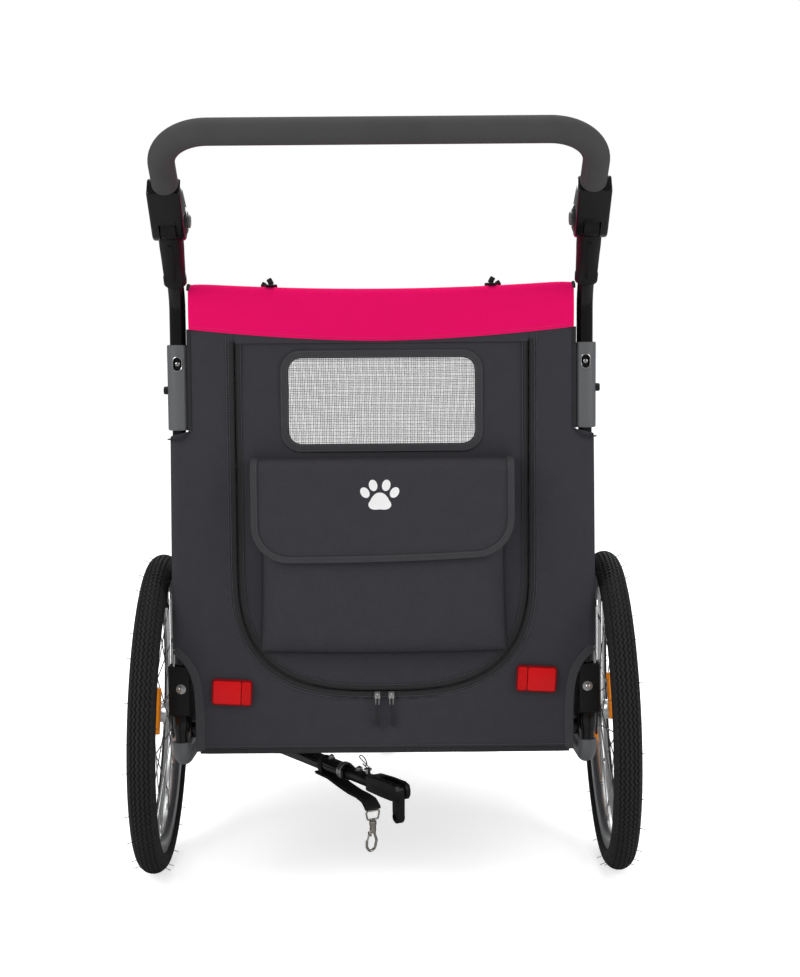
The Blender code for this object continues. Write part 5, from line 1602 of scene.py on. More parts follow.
makeRearPanel()
makeRoof()
makeDoor()
makeZip()
makeSliders()
makePocket()
makeFlap()
makePaw()
makeSides()
makeFront()
makeFloorMat()
makeReflectors()
makeRoofClips()
print("cabin cloth made")


# ---------- main wheels ----------

tyre = {"radius": 0.2475, "width": 0.042, "ring": 900, "waves": 150, "reach": 108,
        "grooves": 5, "grooveGap": 0.0066, "grooveWide": 0.0034, "grooveDeep": 0.0024,
        "sway": 0.0019, "whiskers": 26, "outwards": 0.004}
rim = {"seat": 0.2130, "depth": 0.016, "half": 0.015}
hub = {"flange": 0.0165, "flangeR": 0.029, "body": 0.016, "inner": 0.0195, "outer": 0.030}
lacing = {"spokes": 28, "gauge": 0.00095, "cross": 70.0, "hole": 0.0255, "lean": 0.0016,
          "nipple": 0.0021, "head": 0.0032}
amber = {"at": 0.145, "long": 0.067, "wide": 0.034, "deep": 0.008, "inwards": 0.012}


def wheelPlace(name):
    # a wheel's own frame: Z along its axle, rightwards
    joint = joints[name + "_wheel_spin"]
    out = tyre["outwards"] * (1 if joint["pos_m"][0] > 0 else -1)
    return frameOf(joint["pos_m"], joint["axis"]) @ Matrix.Translation((0, 0, out))


def tyreMesh(name, place):
    t = tyre
    half = t["width"] / 2
    ring = t["radius"] - half
    edge, tread = math.radians(t["reach"]), math.radians(58)
    angles = np.concatenate([np.linspace(-edge, -tread, 7)[:-1], np.linspace(-tread, tread, 62),
                             np.linspace(tread, edge, 7)[1:]])
    inner = [(rim["seat"] + 0.0005, rim["half"] - 0.0033), (ring, half - 0.0035),
             (ring + half - 0.0035, 0.0), (ring, -half + 0.0035),
             (rim["seat"] + 0.0005, -rim["half"] + 0.0033)]
    n, m = t["ring"], len(angles) + len(inner)
    turn = np.arange(n) * 2 * math.pi / n
    phase = turn * t["waves"] / (2 * math.pi)
    sway = t["sway"] * (2 * np.abs(2 * (phase % 1.0) - 1) - 1)
    verts = np.zeros((n, m, 3))
    for k, a in enumerate(angles):
        arc = a * half
        cut = np.zeros(n)
        for g in range(t["grooves"]):
            line = (g - (t["grooves"] - 1) / 2) * t["grooveGap"] + sway
            d = np.clip(1 - np.abs(arc - line) / (t["grooveWide"] / 2), 0, 1)
            cut = np.maximum(cut, np.minimum(1.0, 1.9 * d))
        shoulder = abs(arc) > 0.0165 and abs(a) < tread
        if shoulder:
            cut = np.maximum(cut, np.clip(2.2 * (np.abs((phase % 1.0) - 0.5) - 0.28), 0, 0.8))
        r = ring + half * math.cos(a) - cut * t["grooveDeep"]
        verts[:, k, 0] = r * np.cos(turn)
        verts[:, k, 1] = r * np.sin(turn)
        verts[:, k, 2] = half * math.sin(a)
    for k, (r, h) in enumerate(inner):
        verts[:, len(angles) + k, 0] = r * np.cos(turn)
        verts[:, len(angles) + k, 1] = r * np.sin(turn)
        verts[:, len(angles) + k, 2] = h
    flat = verts.reshape(-1, 3) @ np.array(place.to_3x3()).T + np.array(place.translation)
    i, k = np.meshgrid(np.arange(n), np.arange(m), indexing="ij")
    j, l = (i + 1) % n, (k + 1) % m
    faces = np.stack([i * m + k, j * m + k, j * m + l, i * m + l], -1).reshape(-1, 4)
    return tidied(meshFrom(name, flat, faces.tolist()), 0.0)


def around(name, base, place, material, count, start=0.0, jitter=0.0):
    mesh = grown(name, base, "round", {"Count": count, "Start": start, "Jitter": jitter,
                                       "Material": material})
    mesh.transform(place)
    return mesh


def spokeSet():
    # four spokes, one of each kind, with their nipples
    parts = []
    tip = rim["seat"] - rim["depth"]
    for k in range(4):
        side = 1 if k % 2 else -1
        lead = 1 if (k // 2) % 2 else -1
        out = 2 * math.pi * k / lacing["spokes"]
        start = out + lead * math.radians(lacing["cross"])
        a = Vector((lacing["hole"] * math.cos(start), lacing["hole"] * math.sin(start),
                    side * hub["flange"] + lacing["lean"] * lead))
        b = Vector((tip * math.cos(out), tip * math.sin(out), side * 0.003))
        parts.append(tubeMesh("spoke", [a, b], lacing["gauge"], 8))
        way = (a - b).normalized()
        parts.append(tubeMesh("nipple", [b - way * 0.001, b + way * 0.011], lacing["nipple"], 8))
        ends = [Vector((a.x, a.y, side * hub["flange"] + h * lacing["head"])) for h in (-1, 1)]
        parts.append(tubeMesh("head", ends, lacing["nipple"], 8))
    return joined("spokes", parts)


def amberMesh(place, angle):
    # a moulded spoke reflector: a lens on each face of a thin body
    spot = place @ Matrix.Rotation(angle, 4, 'Z') @ Matrix.Translation((amber["at"], 0, 0))
    h, w = amber["long"] / 2, amber["wide"] / 2
    outline = rounded(-w, w, -h, h, 0.012)
    body = slab("body", outline, amber["deep"], spot, 0.002, 3)
    inset = rounded(-w + 0.005, w - 0.005, -h + 0.006, h - 0.006, 0.008)
    faces = [slab("lens", inset, 0.0012, spot @ Matrix.Translation((0, 0, s * amber["deep"] / 2)),
                  0.0004) for s in (-1, 1)]
    clips = [slab("clip", rounded(-0.004, 0.004, -0.005, 0.005, 0.002), amber["deep"] + 0.003,
                  spot @ Matrix.Translation((0, s * (h - 0.004), 0)), 0.001) for s in (-1, 1)]
    return joined("amber", [body] + faces + clips)


def makeWheels():
    half = rim["half"]
    seat = rim["seat"]
    section = [(seat + 0.0025, half + 0.0002), (seat + 0.0030, half - 0.0007),
               (seat + 0.0025, half - 0.0018), (seat - 0.0005, half - 0.0024),
               (seat - 0.0012, 0.0), (seat - 0.0005, -half + 0.0024),
               (seat + 0.0025, -half + 0.0018), (seat + 0.0030, -half + 0.0007),
               (seat + 0.0025, -half - 0.0002), (seat - 0.0050, -half),
               (seat - 0.0060, -half + 0.0006),
               (seat - 0.0085, -half + 0.0012), (seat - 0.0145, -half + 0.0065),
               (seat - 0.0160, -half + 0.0105), (seat - 0.0160, half - 0.0105),
               (seat - 0.0145, half - 0.0065), (seat - 0.0085, half - 0.0012),
               (seat - 0.0060, half - 0.0006), (seat - 0.0050, half)]
    for name, s in sides:
        place = wheelPlace(name)
        body = name + "_wheel"
        piece(name + "_tyre_tread", tyreMesh("tyre", place), body, rubber, [name + "_tyre"],
              "tyre")
        root, tip = Vector((0.2385, 0, 0.0165)), Vector((0.2420, 0, 0.0255))
        hair = tubeMesh("hair", [root, tip], 0.0005, 5)
        other = hair.copy()
        other.transform(Matrix.Scale(-1, 4, (0, 0, 1)))
        other.flip_normals()
        hairs = joined("hairs", [around("hair", hair, place, rubber, tyre["whiskers"], 0.1, 0.06),
                                 around("hair", other, place, rubber, tyre["whiskers"], 0.2, 0.06)])
        piece(name + "_tyre_whiskers", hairs, body, rubber, slot="tyre")
        ring = spun("rim", section, place, 120, loop=True)
        piece(name + "_rim_hoop", ring, body, alloy, [name + "_rim"], "alloy")
        inner, outer = -s * hub["inner"], s * hub["outer"]
        low, high = min(inner, outer), max(inner, outer)
        f, r, b = hub["flange"], hub["flangeR"], hub["body"]
        shell = [(0.0066, high), (0.010, high), (0.0115, high - 0.0015), (0.0120, f + 0.005),
                 (0.0135, f + 0.0030), (r - 0.001, f + 0.0014), (r, f + 0.0004), (r, f - 0.0004),
                 (r - 0.001, f - 0.0014), (b + 0.003, f - 0.003), (b, f - 0.007), (b - 0.0015, 0.0),
                 (b, -f + 0.007), (b + 0.003, -f + 0.003), (r - 0.001, -f + 0.0014),
                 (r, -f + 0.0004), (r, -f - 0.0004), (r - 0.001, -f - 0.0014),
                 (0.0135, -f - 0.0022), (0.0120, low + 0.0006), (0.0110, low), (0.0066, low)]
        piece(name + "_hub_shell", spun("hub", shell, place, 48, loop=True), body, alloy,
              [name + "_hub"], "alloy")
        spokes = around("spokes", spokeSet(), place, steel, lacing["spokes"] // 4)
        piece(name + "_spokes", spokes, body, steel, slot="steel")
        first = math.radians(180 - 13) if s < 0 else math.radians(180 - 20)
        inwards = place @ Matrix.Translation((0, 0, -s * amber["inwards"]))
        glow = joined("amber", [amberMesh(inwards, first), amberMesh(inwards, first + math.pi)])
        piece(name + "_spoke_reflectors", glow, body, amberLens, slot="red_lens")
        way = Matrix.Rotation(math.radians(70), 4, 'Z')
        stem = spun("valve", [(0.0, 0.0), (0.0032, 0.0), (0.0032, 0.004), (0.0026, 0.006),
                              (0.0026, 0.022), (0.0036, 0.023), (0.0036, 0.031), (0.0, 0.032)],
                    place @ way @ frameOf((seat - 0.015, 0, 0), (-1, 0, 0)), 14)
        piece(name + "_valve", stem, body, moulded, slot="moulded_black")
        inside = -s * (abs(place.translation.x) - 0.2870)
        axle = [(0.0, inside), (0.0050, inside), (0.0060, inside + s * 0.001),
                (0.0060, s * (hub["outer"] + 0.0005)), (0.0095, s * (hub["outer"] + 0.0005)),
                (0.0098, s * (hub["outer"] + 0.0035)), (0.0060, s * (hub["outer"] + 0.0042)),
                (0.0, s * (hub["outer"] + 0.0046))]
        if s < 0:
            axle = axle[::-1]
        piece(name + "_axle_pin", spun("axle", axle, place, 32), "chassis", steel,
              [name + "_wheel_axle"], "steel")


# ---------- frame ----------

tubes = {"upright": 0.010, "rail": 0.0135, "cross": 0.0125, "hoop": 0.0095, "bar": 0.0085,
         "stem": 0.012, "railX": 0.302, "railZ": 0.200, "elbowTop": 0.2268,
         "hoopX": 0.268, "hoopBend": 0.050}


def roundTube(name, path, radius, material, nodes, slotName, bend=0.0, body="chassis", count=28,
              extra=()):
    run = arcCorners(path, bend, 10, closed=False) if bend else [Vector(p) for p in path]
    mesh = tubeMesh(name, run, radius, count, (0.13, 0.2, 0.97))
    if extra:
        mesh = joined(name, [mesh] + list(extra))
    return piece(name, mesh, body, material, nodes, slotName)


def hexBolt(place, across=0.010, washer=0.0066, dome=0.003):
    # washer, hexagon and a domed end, standing on the matrix's x, y plane
    flat = [(washer * math.cos(a), washer * math.sin(a))
            for a in np.linspace(0, 2 * math.pi, 28, endpoint=False)]
    parts = [slab("washer", flat, 0.0012, place @ Matrix.Translation((0, 0, 0.0006)), 0.0003)]
    corner = [(across / 2 * 1.12 * math.cos(a), across / 2 * 1.12 * math.sin(a))
              for a in np.linspace(0, 2 * math.pi, 6, endpoint=False)]
    parts.append(slab("hex", corner, 0.004, place @ Matrix.Translation((0, 0, 0.0032)), 0.0006))
    parts.append(spun("end", [(0.0, 0.0078 - 0.0005), (0.0016, 0.0076 - 0.0008),
                              (dome, 0.0056), (dome, 0.004), (0.0, 0.004)], place, 20))
    return joined("bolt", parts)


def makeFrame():
    t = tubes
    rearY = cabin["uprightY"]
    bolts = []
    for name, s in sides:
        foot = uprightX(t["elbowTop"])
        rail = [at(s * foot, rearY, t["elbowTop"]), at(s * foot, rearY, t["railZ"]),
                at(s * t["railX"], rearY + 0.080, t["railZ"]),
                at(s * t["railX"], highOf("front_cross_tube").y - axleY + 0.004, t["railZ"])]
        lip = spun("lip", [(t["rail"] - 0.0005, 0), (t["rail"] + 0.0008, 0.0004),
                           (t["rail"] + 0.0008, 0.0040), (t["rail"] - 0.0005, 0.0044)],
                   Matrix.Translation(at(s * foot, rearY, t["elbowTop"] - 0.0046)), 40,
                   loop=True)
        roundTube(name + "_rail_tube", rail, t["rail"], greySatin, [name + "_side_rail"],
                  "rail", 0.024, extra=[lip])
        top = highOf(name + "_upright").z
        roundTube(name + "_upright_tube", [at(s * foot, rearY, t["elbowTop"] + 0.0004),
                                           at(s * uprightX(top), rearY, top)],
                  t["upright"], glossBlack, [name + "_upright"], "frame")
        low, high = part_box(name + "_hoop")
        front, back = high.y - axleY - t["hoop"], low.y - axleY + t["hoop"]
        hoop = [at(s * t["hoopX"], y, z) for y, z in (
            (front, low.z), (front, cabin["knee"] - 0.005),
            (cabin["roofFront"] - 0.008, cabin["roofFrontZ"] - 0.0155),
            (back, cabin["roofRearZ"] - 0.0105), (back, low.z + 0.04))]
        roundTube(name + "_hoop_tube", hoop, t["hoop"], glossBlack, [name + "_hoop"], "frame",
                  t["hoopBend"])
        bolts.append(hexBolt(frameOf(at(s * (t["railX"] + t["rail"]), 0.60, t["railZ"]),
                                     (s, 0, 0)), 0.009))
    for node, radius in (("front_cross_tube", t["cross"]), ("rear_cross_tube", t["cross"]),
                         ("roof_bar", t["bar"])):
        low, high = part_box(node)
        mid = (low + high) / 2
        roundTube(node + "_round", [Vector((low.x, mid.y, mid.z)), Vector((high.x, mid.y, mid.z))],
                  radius, glossBlack, [node], "frame")
    pivot = Vector(joints["tow_arm_swing"]["pos_m"])
    ear = block("ear", (pivot.x - 0.018, pivot.y - 0.024, pivot.z - 0.0015),
                (pivot.x + 0.018, pivot.y + 0.024, t["railZ"] - t["rail"] + 0.005), bevel=0.003)
    piece("tow_arm_ear", ear, "chassis", greySatin, slot="rail")
    piece("rail_bolts", joined("bolts", bolts), "chassis", steel, slot="steel")


bracket = {"x": 0.3075, "wide": 0.031, "wall": 0.0025, "rear": -0.127, "top": 0.344,
           "bolt": 0.310}


def makeBrackets():
    b = bracket
    for name, s in sides:
        axleZ = wheelPlace(name).translation.z
        outline = [(b["rear"], b["top"]), (-0.097, b["top"]), (0.000, axleZ + 0.022),
                   (0.016, axleZ + 0.006), (0.016, axleZ - 0.008), (0.008, axleZ - 0.020),
                   (-0.093, axleZ - 0.020), (-0.099, 0.262), (b["rear"], 0.269)]
        shape = [(p[0], p[1]) for p in arcCorners([Vector(p) for p in outline], 0.0035, 4)]
        shell = slab("shell", shape, b["wide"], Matrix.Translation(at(s * b["x"], 0, 0)) @ yzPlane,
                     0.0014, 3)
        inner = b["wide"] / 2 - b["wall"]
        hollow = block("hollow", at(s * b["x"] - inner, b["rear"] + b["wall"], 0.20),
                       at(s * b["x"] + inner, 0.05, 0.40), bevel=0.0008)
        shell = carved(shell, hollow)
        piece(name + "_bracket_shell", shell, "chassis", satinBlack, [name + "_axle_bracket"],
              "bracket")
        rear = at(s * (b["x"] - 0.0035), b["rear"], b["bolt"])
        bolts = [hexBolt(frameOf(rear, (0, -1, 0)), 0.0085, 0.0075, 0.0032)]
        side = wheelPlace(name)
        nut = side @ Matrix.Translation((0, 0, -s * (abs(side.translation.x) - b["x"]
                                                     + b["wide"] / 2)))
        bolts.append(hexBolt(nut @ Matrix.Rotation(math.pi if s > 0 else 0.0, 4, 'X'), 0.014,
                             0.0095, 0.0055))
        piece(name + "_bracket_bolts", joined("bolts", bolts), "chassis", steel, slot="steel")
        boss = [(0.0112, 0.270), (0.0125, 0.2665), (0.0128, 0.2500), (0.0120, 0.2440),
                (0.0108, 0.2400)]
        axis = Matrix.Translation(at(s * uprightX(0.25), cabin["uprightY"], 0))
        collar = spun("collar", [(0.0101, 0.2400)] + boss[::-1] + [(0.0101, 0.270)], axis, 36,
                      loop=True)
        piece(name + "_upright_collar", collar, "chassis", glossBlack, slot="frame")


sleeve = {"radius": 0.0165, "low": 0.697, "high": 0.823, "snap": 0.795, "knob": 0.756}


def makeSleeves():
    e = sleeve
    bore = tubes["stem"] + 0.0004
    for name, s in sides:
        axis = Matrix.Translation(at(s * cabin["uprightTop"], cabin["uprightY"], 0))
        r = e["radius"]
        profile = [(bore, e["high"]), (r - 0.0012, e["high"]), (r, e["high"] - 0.0014),
                   (r, e["low"] + 0.0014), (r - 0.0012, e["low"]), (bore, e["low"])]
        shell = spun("sleeve", profile, axis, 56, loop=True)
        slotCut = slab("slot", rounded(-0.0062, 0.0062, -0.0098, 0.0098, 0.0061, 8), 0.02,
                       Matrix.Translation(at(s * cabin["uprightTop"], cabin["uprightY"] - 0.02,
                                             e["snap"])) @ xzPlane)
        shell = carved(shell, slotCut)
        piece(name + "_sleeve_shell", shell, "chassis", greySatin, [name + "_sleeve"],
              "grey_plastic")
        rim1 = sweep("lip", [at(s * cabin["uprightTop"] + x, cabin["uprightY"]
                                - math.sqrt(r * r - x * x) - 0.0002, e["snap"] + z)
                             for x, z in rounded(-0.0068, 0.0068, -0.0104, 0.0104, 0.0067, 10)],
                     ringSection(0.0010, 8), (0, -1, 0), closed=True)
        piece(name + "_sleeve_lip", rim1, "chassis", steel, slot="steel")
        knobAt = frameOf(at(s * (cabin["uprightTop"] + r - 0.001), cabin["uprightY"], e["knob"]),
                         (s, 0, 0))
        knob = spun("knob", [(0.0, 0.0), (0.0055, 0.0), (0.0060, 0.001), (0.0060, 0.0055),
                             (0.0048, 0.0068), (0.0, 0.0072)], knobAt, 28)
        piece(name + "_sleeve_knob", knob, "chassis", moulded, slot="moulded_black")
        place = frameOf(midOf(name + "_snap_button"), (0, -1, 0))
        out = (highOf(name + "_snap_button").y - lowOf(name + "_snap_button").y) / 2
        dome = [(0.0, -out), (0.0040, -out), (0.0040, out - 0.0026), (0.0036, out - 0.0012),
                (0.0024, out - 0.0003), (0.0, out)]
        piece(name + "_snap_dome", spun("snap", dome, place, 28), name + "_snap_button", steel,
              [name + "_snap_button"], "steel")


handle = {"bend": 0.887, "socketR": 0.0178, "socketLength": 0.106, "core": 0.0240,
          "cheek": 0.0115, "pivotR": 0.0265, "cheekR": 0.0270, "barHalf": 0.2975,
          "corner": 0.068, "tube": 0.011, "grip": 0.01875, "gripEnd": 0.082, "button": 0.0095}


def makeHandle():
    h = handle
    pivotPos = Vector(joints["handle_tilt"]["pos_m"])
    pivotY, pivotZ = pivotPos.y - axleY, pivotPos.z
    bar = Vector((0, lowOf("handle_grip").y + h["grip"] - axleY,
                  highOf("handle_grip").z - h["grip"]))
    reach = Vector((0, bar.y - pivotY, bar.z - pivotZ)).normalized()
    across = Vector((0, -reach.z, reach.y))
    back = Vector((0, pivotY - cabin["uprightY"], pivotZ - h["bend"])).normalized()
    for name, s in sides:
        x = s * cabin["uprightTop"]
        pivot = at(x, pivotY, pivotZ)
        stemRun = [at(x, cabin["uprightY"], 0.763), at(x, cabin["uprightY"], h["bend"]),
                   pivot - back * 0.0305]
        stemRun = arcCorners(stemRun, 0.050, 12, closed=False)
        piece(name + "_stem_tube", tubeMesh("stem", stemRun, tubes["stem"], 32, (0.2, 0.9, 0.1)),
              "chassis", glossBlack, [name + "_stem"], "frame")
        # the pivot's middle disc and its socket
        half = h["core"] / 2
        disc = spun("disc", [(0.0, -half), (h["pivotR"] - 0.0015, -half),
                             (h["pivotR"], -half + 0.0015), (h["pivotR"], half - 0.0015),
                             (h["pivotR"] - 0.0015, half), (0.0, half)],
                    frameOf(pivot, (1, 0, 0)), 64)
        socketFrame = frameOf(pivot, -back, (1, 0, 0))
        r = h["socketR"]
        top, end = 0.014, h["socketLength"]
        socket = spun("socket", [(0.0, top), (r, top), (r, 0.042), (r - 0.0008, 0.060),
                                 (r - 0.0018, end - 0.014), (r - 0.0008, end - 0.0125),
                                 (r - 0.0010, end - 0.0015), (r - 0.0024, end), (0.0, end)],
                      socketFrame, 48)
        socket = carved(socket, spun("bore", [(0.0, 0.028), (0.0122, 0.028), (0.0122, end + 0.02),
                                              (0.0, end + 0.02)], socketFrame, 32))
        rib = block("rib", (-0.0036, r - 0.0035, 0.030), (0.0036, r + 0.0014, end - 0.016),
                    frameOf(pivot, -back, (0, -1, 0)), 0.0012)
        base = joined("base", [disc, socket, rib])
        piece(name + "_pivot_core", base, "chassis", satinBlack, [name + "_pivot_base"], "frame")
        # the arm: a teardrop with a slot for the disc
        width = h["core"] + 2 * h["cheek"]
        outline = []
        for k in range(25):
            a = math.pi * k / 24
            p = across * (math.cos(a) * h["cheekR"]) - reach * (math.sin(a) * h["cheekR"])
            outline.append((p.y, p.z))
        end = reach * (h["gripEnd"] - 0.001)
        for side in (-1, 1):
            p = end + across * (0.0140 * side)
            outline.append((p.y, p.z))
        arm = slab("arm", outline, width, Matrix.Translation(pivot) @ yzPlane, 0.0034, 4)
        gap = half + 0.0004
        arm = carved(arm, spun("space", [(0.0, -gap), (0.0320, -gap), (0.0320, gap), (0.0, gap)],
                               frameOf(pivot, (1, 0, 0)), 56))
        inward = Vector((-s, 0, 0))
        face = pivot + inward * (width / 2)
        arm = carved(arm, spun("bore", [(0.0, -0.020), (h["button"] + 0.0004, -0.020),
                                        (h["button"] + 0.0004, 0.01), (0.0, 0.01)],
                               frameOf(face, inward), 36))
        ringAt = frameOf(face, inward)
        boss = spun("boss", [(h["button"] + 0.0006, -0.002), (0.0195, -0.002), (0.0205, 0.0004),
                             (0.0150, 0.0028), (h["button"] + 0.0014, 0.0034),
                             (h["button"] + 0.0006, 0.0030)], ringAt, 48, loop=True)
        outerFace = pivot - inward * (width / 2)
        cap = spun("cap", [(0.0, -0.001), (0.0165, -0.001), (0.0175, 0.0003), (0.0170, 0.0010),
                           (0.0120, 0.0014), (0.0, 0.0015)], frameOf(outerFace, -inward), 48)
        piece(name + "_handle_cheeks", joined("arm", [arm, boss, cap]), "handle", glossBlack,
              [name + "_pivot_arm"], "frame")
        buttonFrame = frameOf(midOf(name + "_pivot_button"), inward)
        low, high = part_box(name + "_pivot_button")
        reachIn = (high.x - low.x) / 2
        r = h["button"]
        push = spun("push", [(0.0, -reachIn), (r, -reachIn), (r, reachIn - 0.0012),
                             (r - 0.0010, reachIn - 0.0002), (r - 0.0020, reachIn),
                             (r - 0.0032, reachIn - 0.0008), (0.0, reachIn - 0.0008)],
                    buttonFrame, 40)
        piece(name + "_pivot_push", push, name + "_pivot_button", greySatin,
              [name + "_pivot_button"], "grey_plastic")

    def barPath(start):
        out = reach * start
        return [at(-h["barHalf"], pivotY, pivotZ) + out, at(-h["barHalf"], bar.y, bar.z),
                at(h["barHalf"], bar.y, bar.z), at(h["barHalf"], pivotY, pivotZ) + out]

    tubeRun = arcCorners(barPath(0.047), h["corner"], 20, closed=False)
    piece("handle_inner_tube", tubeMesh("tube", tubeRun, h["tube"], 24, (0, 1, 0.3)), "handle",
          glossBlack, ["handle_tube"], "frame")
    gripRun = arcCorners(barPath(h["gripEnd"]), h["corner"], 20, closed=False)
    gripRun = [gripRun[0] + (gripRun[1] - gripRun[0]).normalized() * d
               for d in (0.0, 0.0008, 0.0024, 0.006)] + gripRun[1:-1] + \
              [gripRun[-1] + (gripRun[-2] - gripRun[-1]).normalized() * d
               for d in (0.006, 0.0024, 0.0008, 0.0)]
    radii = [h["grip"]] * len(gripRun)
    for k, share in enumerate((0.90, 0.955, 0.99)):
        radii[k] = radii[-1 - k] = h["grip"] * share
    gripMesh = tubeMesh("grip", gripRun, h["grip"], 48, (0, 1, 0.3), radii=radii)
    grip = piece("handle_foam", gripMesh, "handle", foam, ["handle_grip"], "foam")


# ---------- tow arm ----------

def makeTowArm():
    # the arm's own frame: X along it from the pivot, with the pin a little before its end
    tubeR, pinBack = 0.0125, 0.094
    pivot = Vector(joints["tow_arm_swing"]["pos_m"])
    pinMid = midOf("hitch_pin")
    pivot.z = pinMid.z = lowOf("tow_arm").z + tubeR
    way = (pinMid - pivot).normalized()
    length = (pinMid - pivot).length + pinBack
    arm = Matrix((way, Vector((0, 0, 1)).cross(way), Vector((0, 0, 1)))).transposed().to_4x4()
    arm.translation = pivot

    def on(s, side, z):
        return arm @ Vector((length + s, side, z))

    run = [arm @ Vector((-0.018, 0, 0)), on(-0.1505, 0, 0)]
    parts = [tubeMesh("arm", run, tubeR, 36)]
    parts.append(tubeMesh("pin", [arm @ Vector((0, 0, h)) for h in (0.006, 0.034)], 0.005, 20))
    piece("tow_arm_tube", joined("arm", parts), "tow_arm", glossBlack, ["tow_arm"], "frame")
    along = frameOf(on(-0.163, 0, 0), way)
    collar = spun("collar", [(0.0126, -0.0055), (0.0142, -0.0050), (0.0148, -0.0030),
                             (0.0148, 0.0030), (0.0142, 0.0050), (0.0126, 0.0055)], along, 48,
                  loop=True)
    bolts = [collar, hexBolt(frameOf(on(-0.120, 0, 0.0100), (0, 0, 1)), 0.0095, 0.0064),
             hexBolt(frameOf(on(-0.205, 0, 0.0120), (0, 0, 1)), 0.0080, 0.0060),
             hexBolt(frameOf(arm @ Vector((0, 0, -0.0120)), (0, 0, -1)), 0.011, 0.0085)]
    piece("tow_arm_fittings", joined("fittings", bolts), "tow_arm", steel, slot="steel")
    # the head: a shank and a fork round the tongue
    shank = spun("shank", [(0.0, -0.1496), (0.0100, -0.1496), (0.0108, -0.1485), (0.0108, -0.082),
                           (0.0118, -0.074), (0.0, -0.074)], frameOf(on(0, 0, 0), way), 36)
    side = arm @ Matrix.Translation((length, 0, 0)) @ xzPlane
    forkShape = [(-0.078, 0.0125), (-0.040, 0.0145), (-0.006, 0.0145), (0.004, 0.0115),
                 (0.0072, 0.004), (0.0070, -0.004), (0.003, -0.0105), (-0.006, -0.0130),
                 (-0.040, -0.0130), (-0.078, -0.0118)]
    smoothShape = [(p[0], p[1]) for p in arcCorners([Vector(p) for p in forkShape], 0.0022, 4)]
    fork = slab("fork", smoothShape, 0.029, side, 0.0028, 3)
    slotCut = block("slot", (length - 0.050, -0.0062, -0.03), (length + 0.03, 0.0062, 0.03), arm, 0)
    holes = [tubeMesh("hole", [on(-pinBack, 0, -0.03), on(-pinBack, 0, 0.03)], 0.0044, 24)]
    head = carved(carved(fork, slotCut), *holes)
    shank = carved(shank, *holes)
    piece("hitch_fork", joined("head", [head, shank]), "tow_arm", satinBlack, ["hitch_head"],
          "bracket")
    # the pin with its spring clip
    pinLow, pinHigh = lowOf("hitch_pin").z - pivot.z, highOf("hitch_pin").z - pivot.z
    pinFrame = frameOf(on(-pinBack, 0, 0), (0, 0, 1))
    pin = spun("pin", [(0.0, pinLow), (0.0034, pinLow), (0.0040, pinLow + 0.0008),
                       (0.0040, pinHigh - 0.0030), (0.0062, pinHigh - 0.0028),
                       (0.0062, pinHigh - 0.0006), (0.0050, pinHigh), (0.0, pinHigh)], pinFrame, 32)
    clipRun = []
    for k in range(30):
        a = -0.9 + (2 * math.pi - 1.1) * k / 29
        clipRun.append(on(-pinBack - 0.014 - 0.0075 * math.cos(a), 0.0045 * math.sin(a),
                          pinHigh + 0.0095 + 0.0068 * math.cos(a)))
    clipRun.insert(0, on(-0.089, 0.002, pinHigh - 0.001))
    clipRun.append(on(-0.088, -0.002, pinHigh - 0.0012))
    clipRun = evenly(arcCorners(clipRun, 0.0004, 2, closed=False), 0.0015)
    clip = tubeMesh("clip", clipRun, 0.00085, 10)
    piece("hitch_pin_clip", joined("pin", [pin, clip]), "hitch_pin", steel, ["hitch_pin"], "steel")
    # the tongue with its axle hole
    hinge = Vector(joints["hitch_tongue_swing"]["pos_m"])
    face = Matrix.Translation(hinge) @ arm.to_3x3().to_4x4() @ xzPlane
    lobe = [(0.0105 * math.cos(a), 0.0105 * math.sin(a)) for a in np.linspace(0, math.pi, 20)]
    lobe += [(0.0095 * math.cos(a), -0.040 + 0.0095 * math.sin(a))
             for a in np.linspace(math.pi, 2 * math.pi, 20)]
    tongue = slab("tongue", lobe, 0.0110, face, 0.0012, 3)
    turnedBore = frameOf(face @ Vector((0, -0.040, 0)), face.to_3x3() @ Vector((0, 0, 1)))
    tongue = carved(tongue, spun("hole", [(0.0, -0.03), (0.0052, -0.03), (0.0052, 0.03),
                                          (0.0, 0.03)], turnedBore, 32))
    lip = spun("lip", [(0.0052, 0.0048), (0.0074, 0.0048), (0.0074, 0.0066), (0.0066, 0.0072),
                       (0.0052, 0.0072)], turnedBore, 36, loop=True)
    other = spun("lip", [(0.0052, -0.0048), (0.0052, -0.0072), (0.0066, -0.0072),
                         (0.0074, -0.0066), (0.0074, -0.0048)], turnedBore, 36, loop=True)
    cross = tubeMesh("pin", [face @ Vector((0, 0, -0.0140)), face @ Vector((0, 0, 0.0140))],
                     0.0036, 24)
    piece("hitch_tongue_plate", joined("tongue", [tongue, lip, other, cross]), "hitch_tongue",
          satinBlack, ["hitch_tongue"], "bracket")
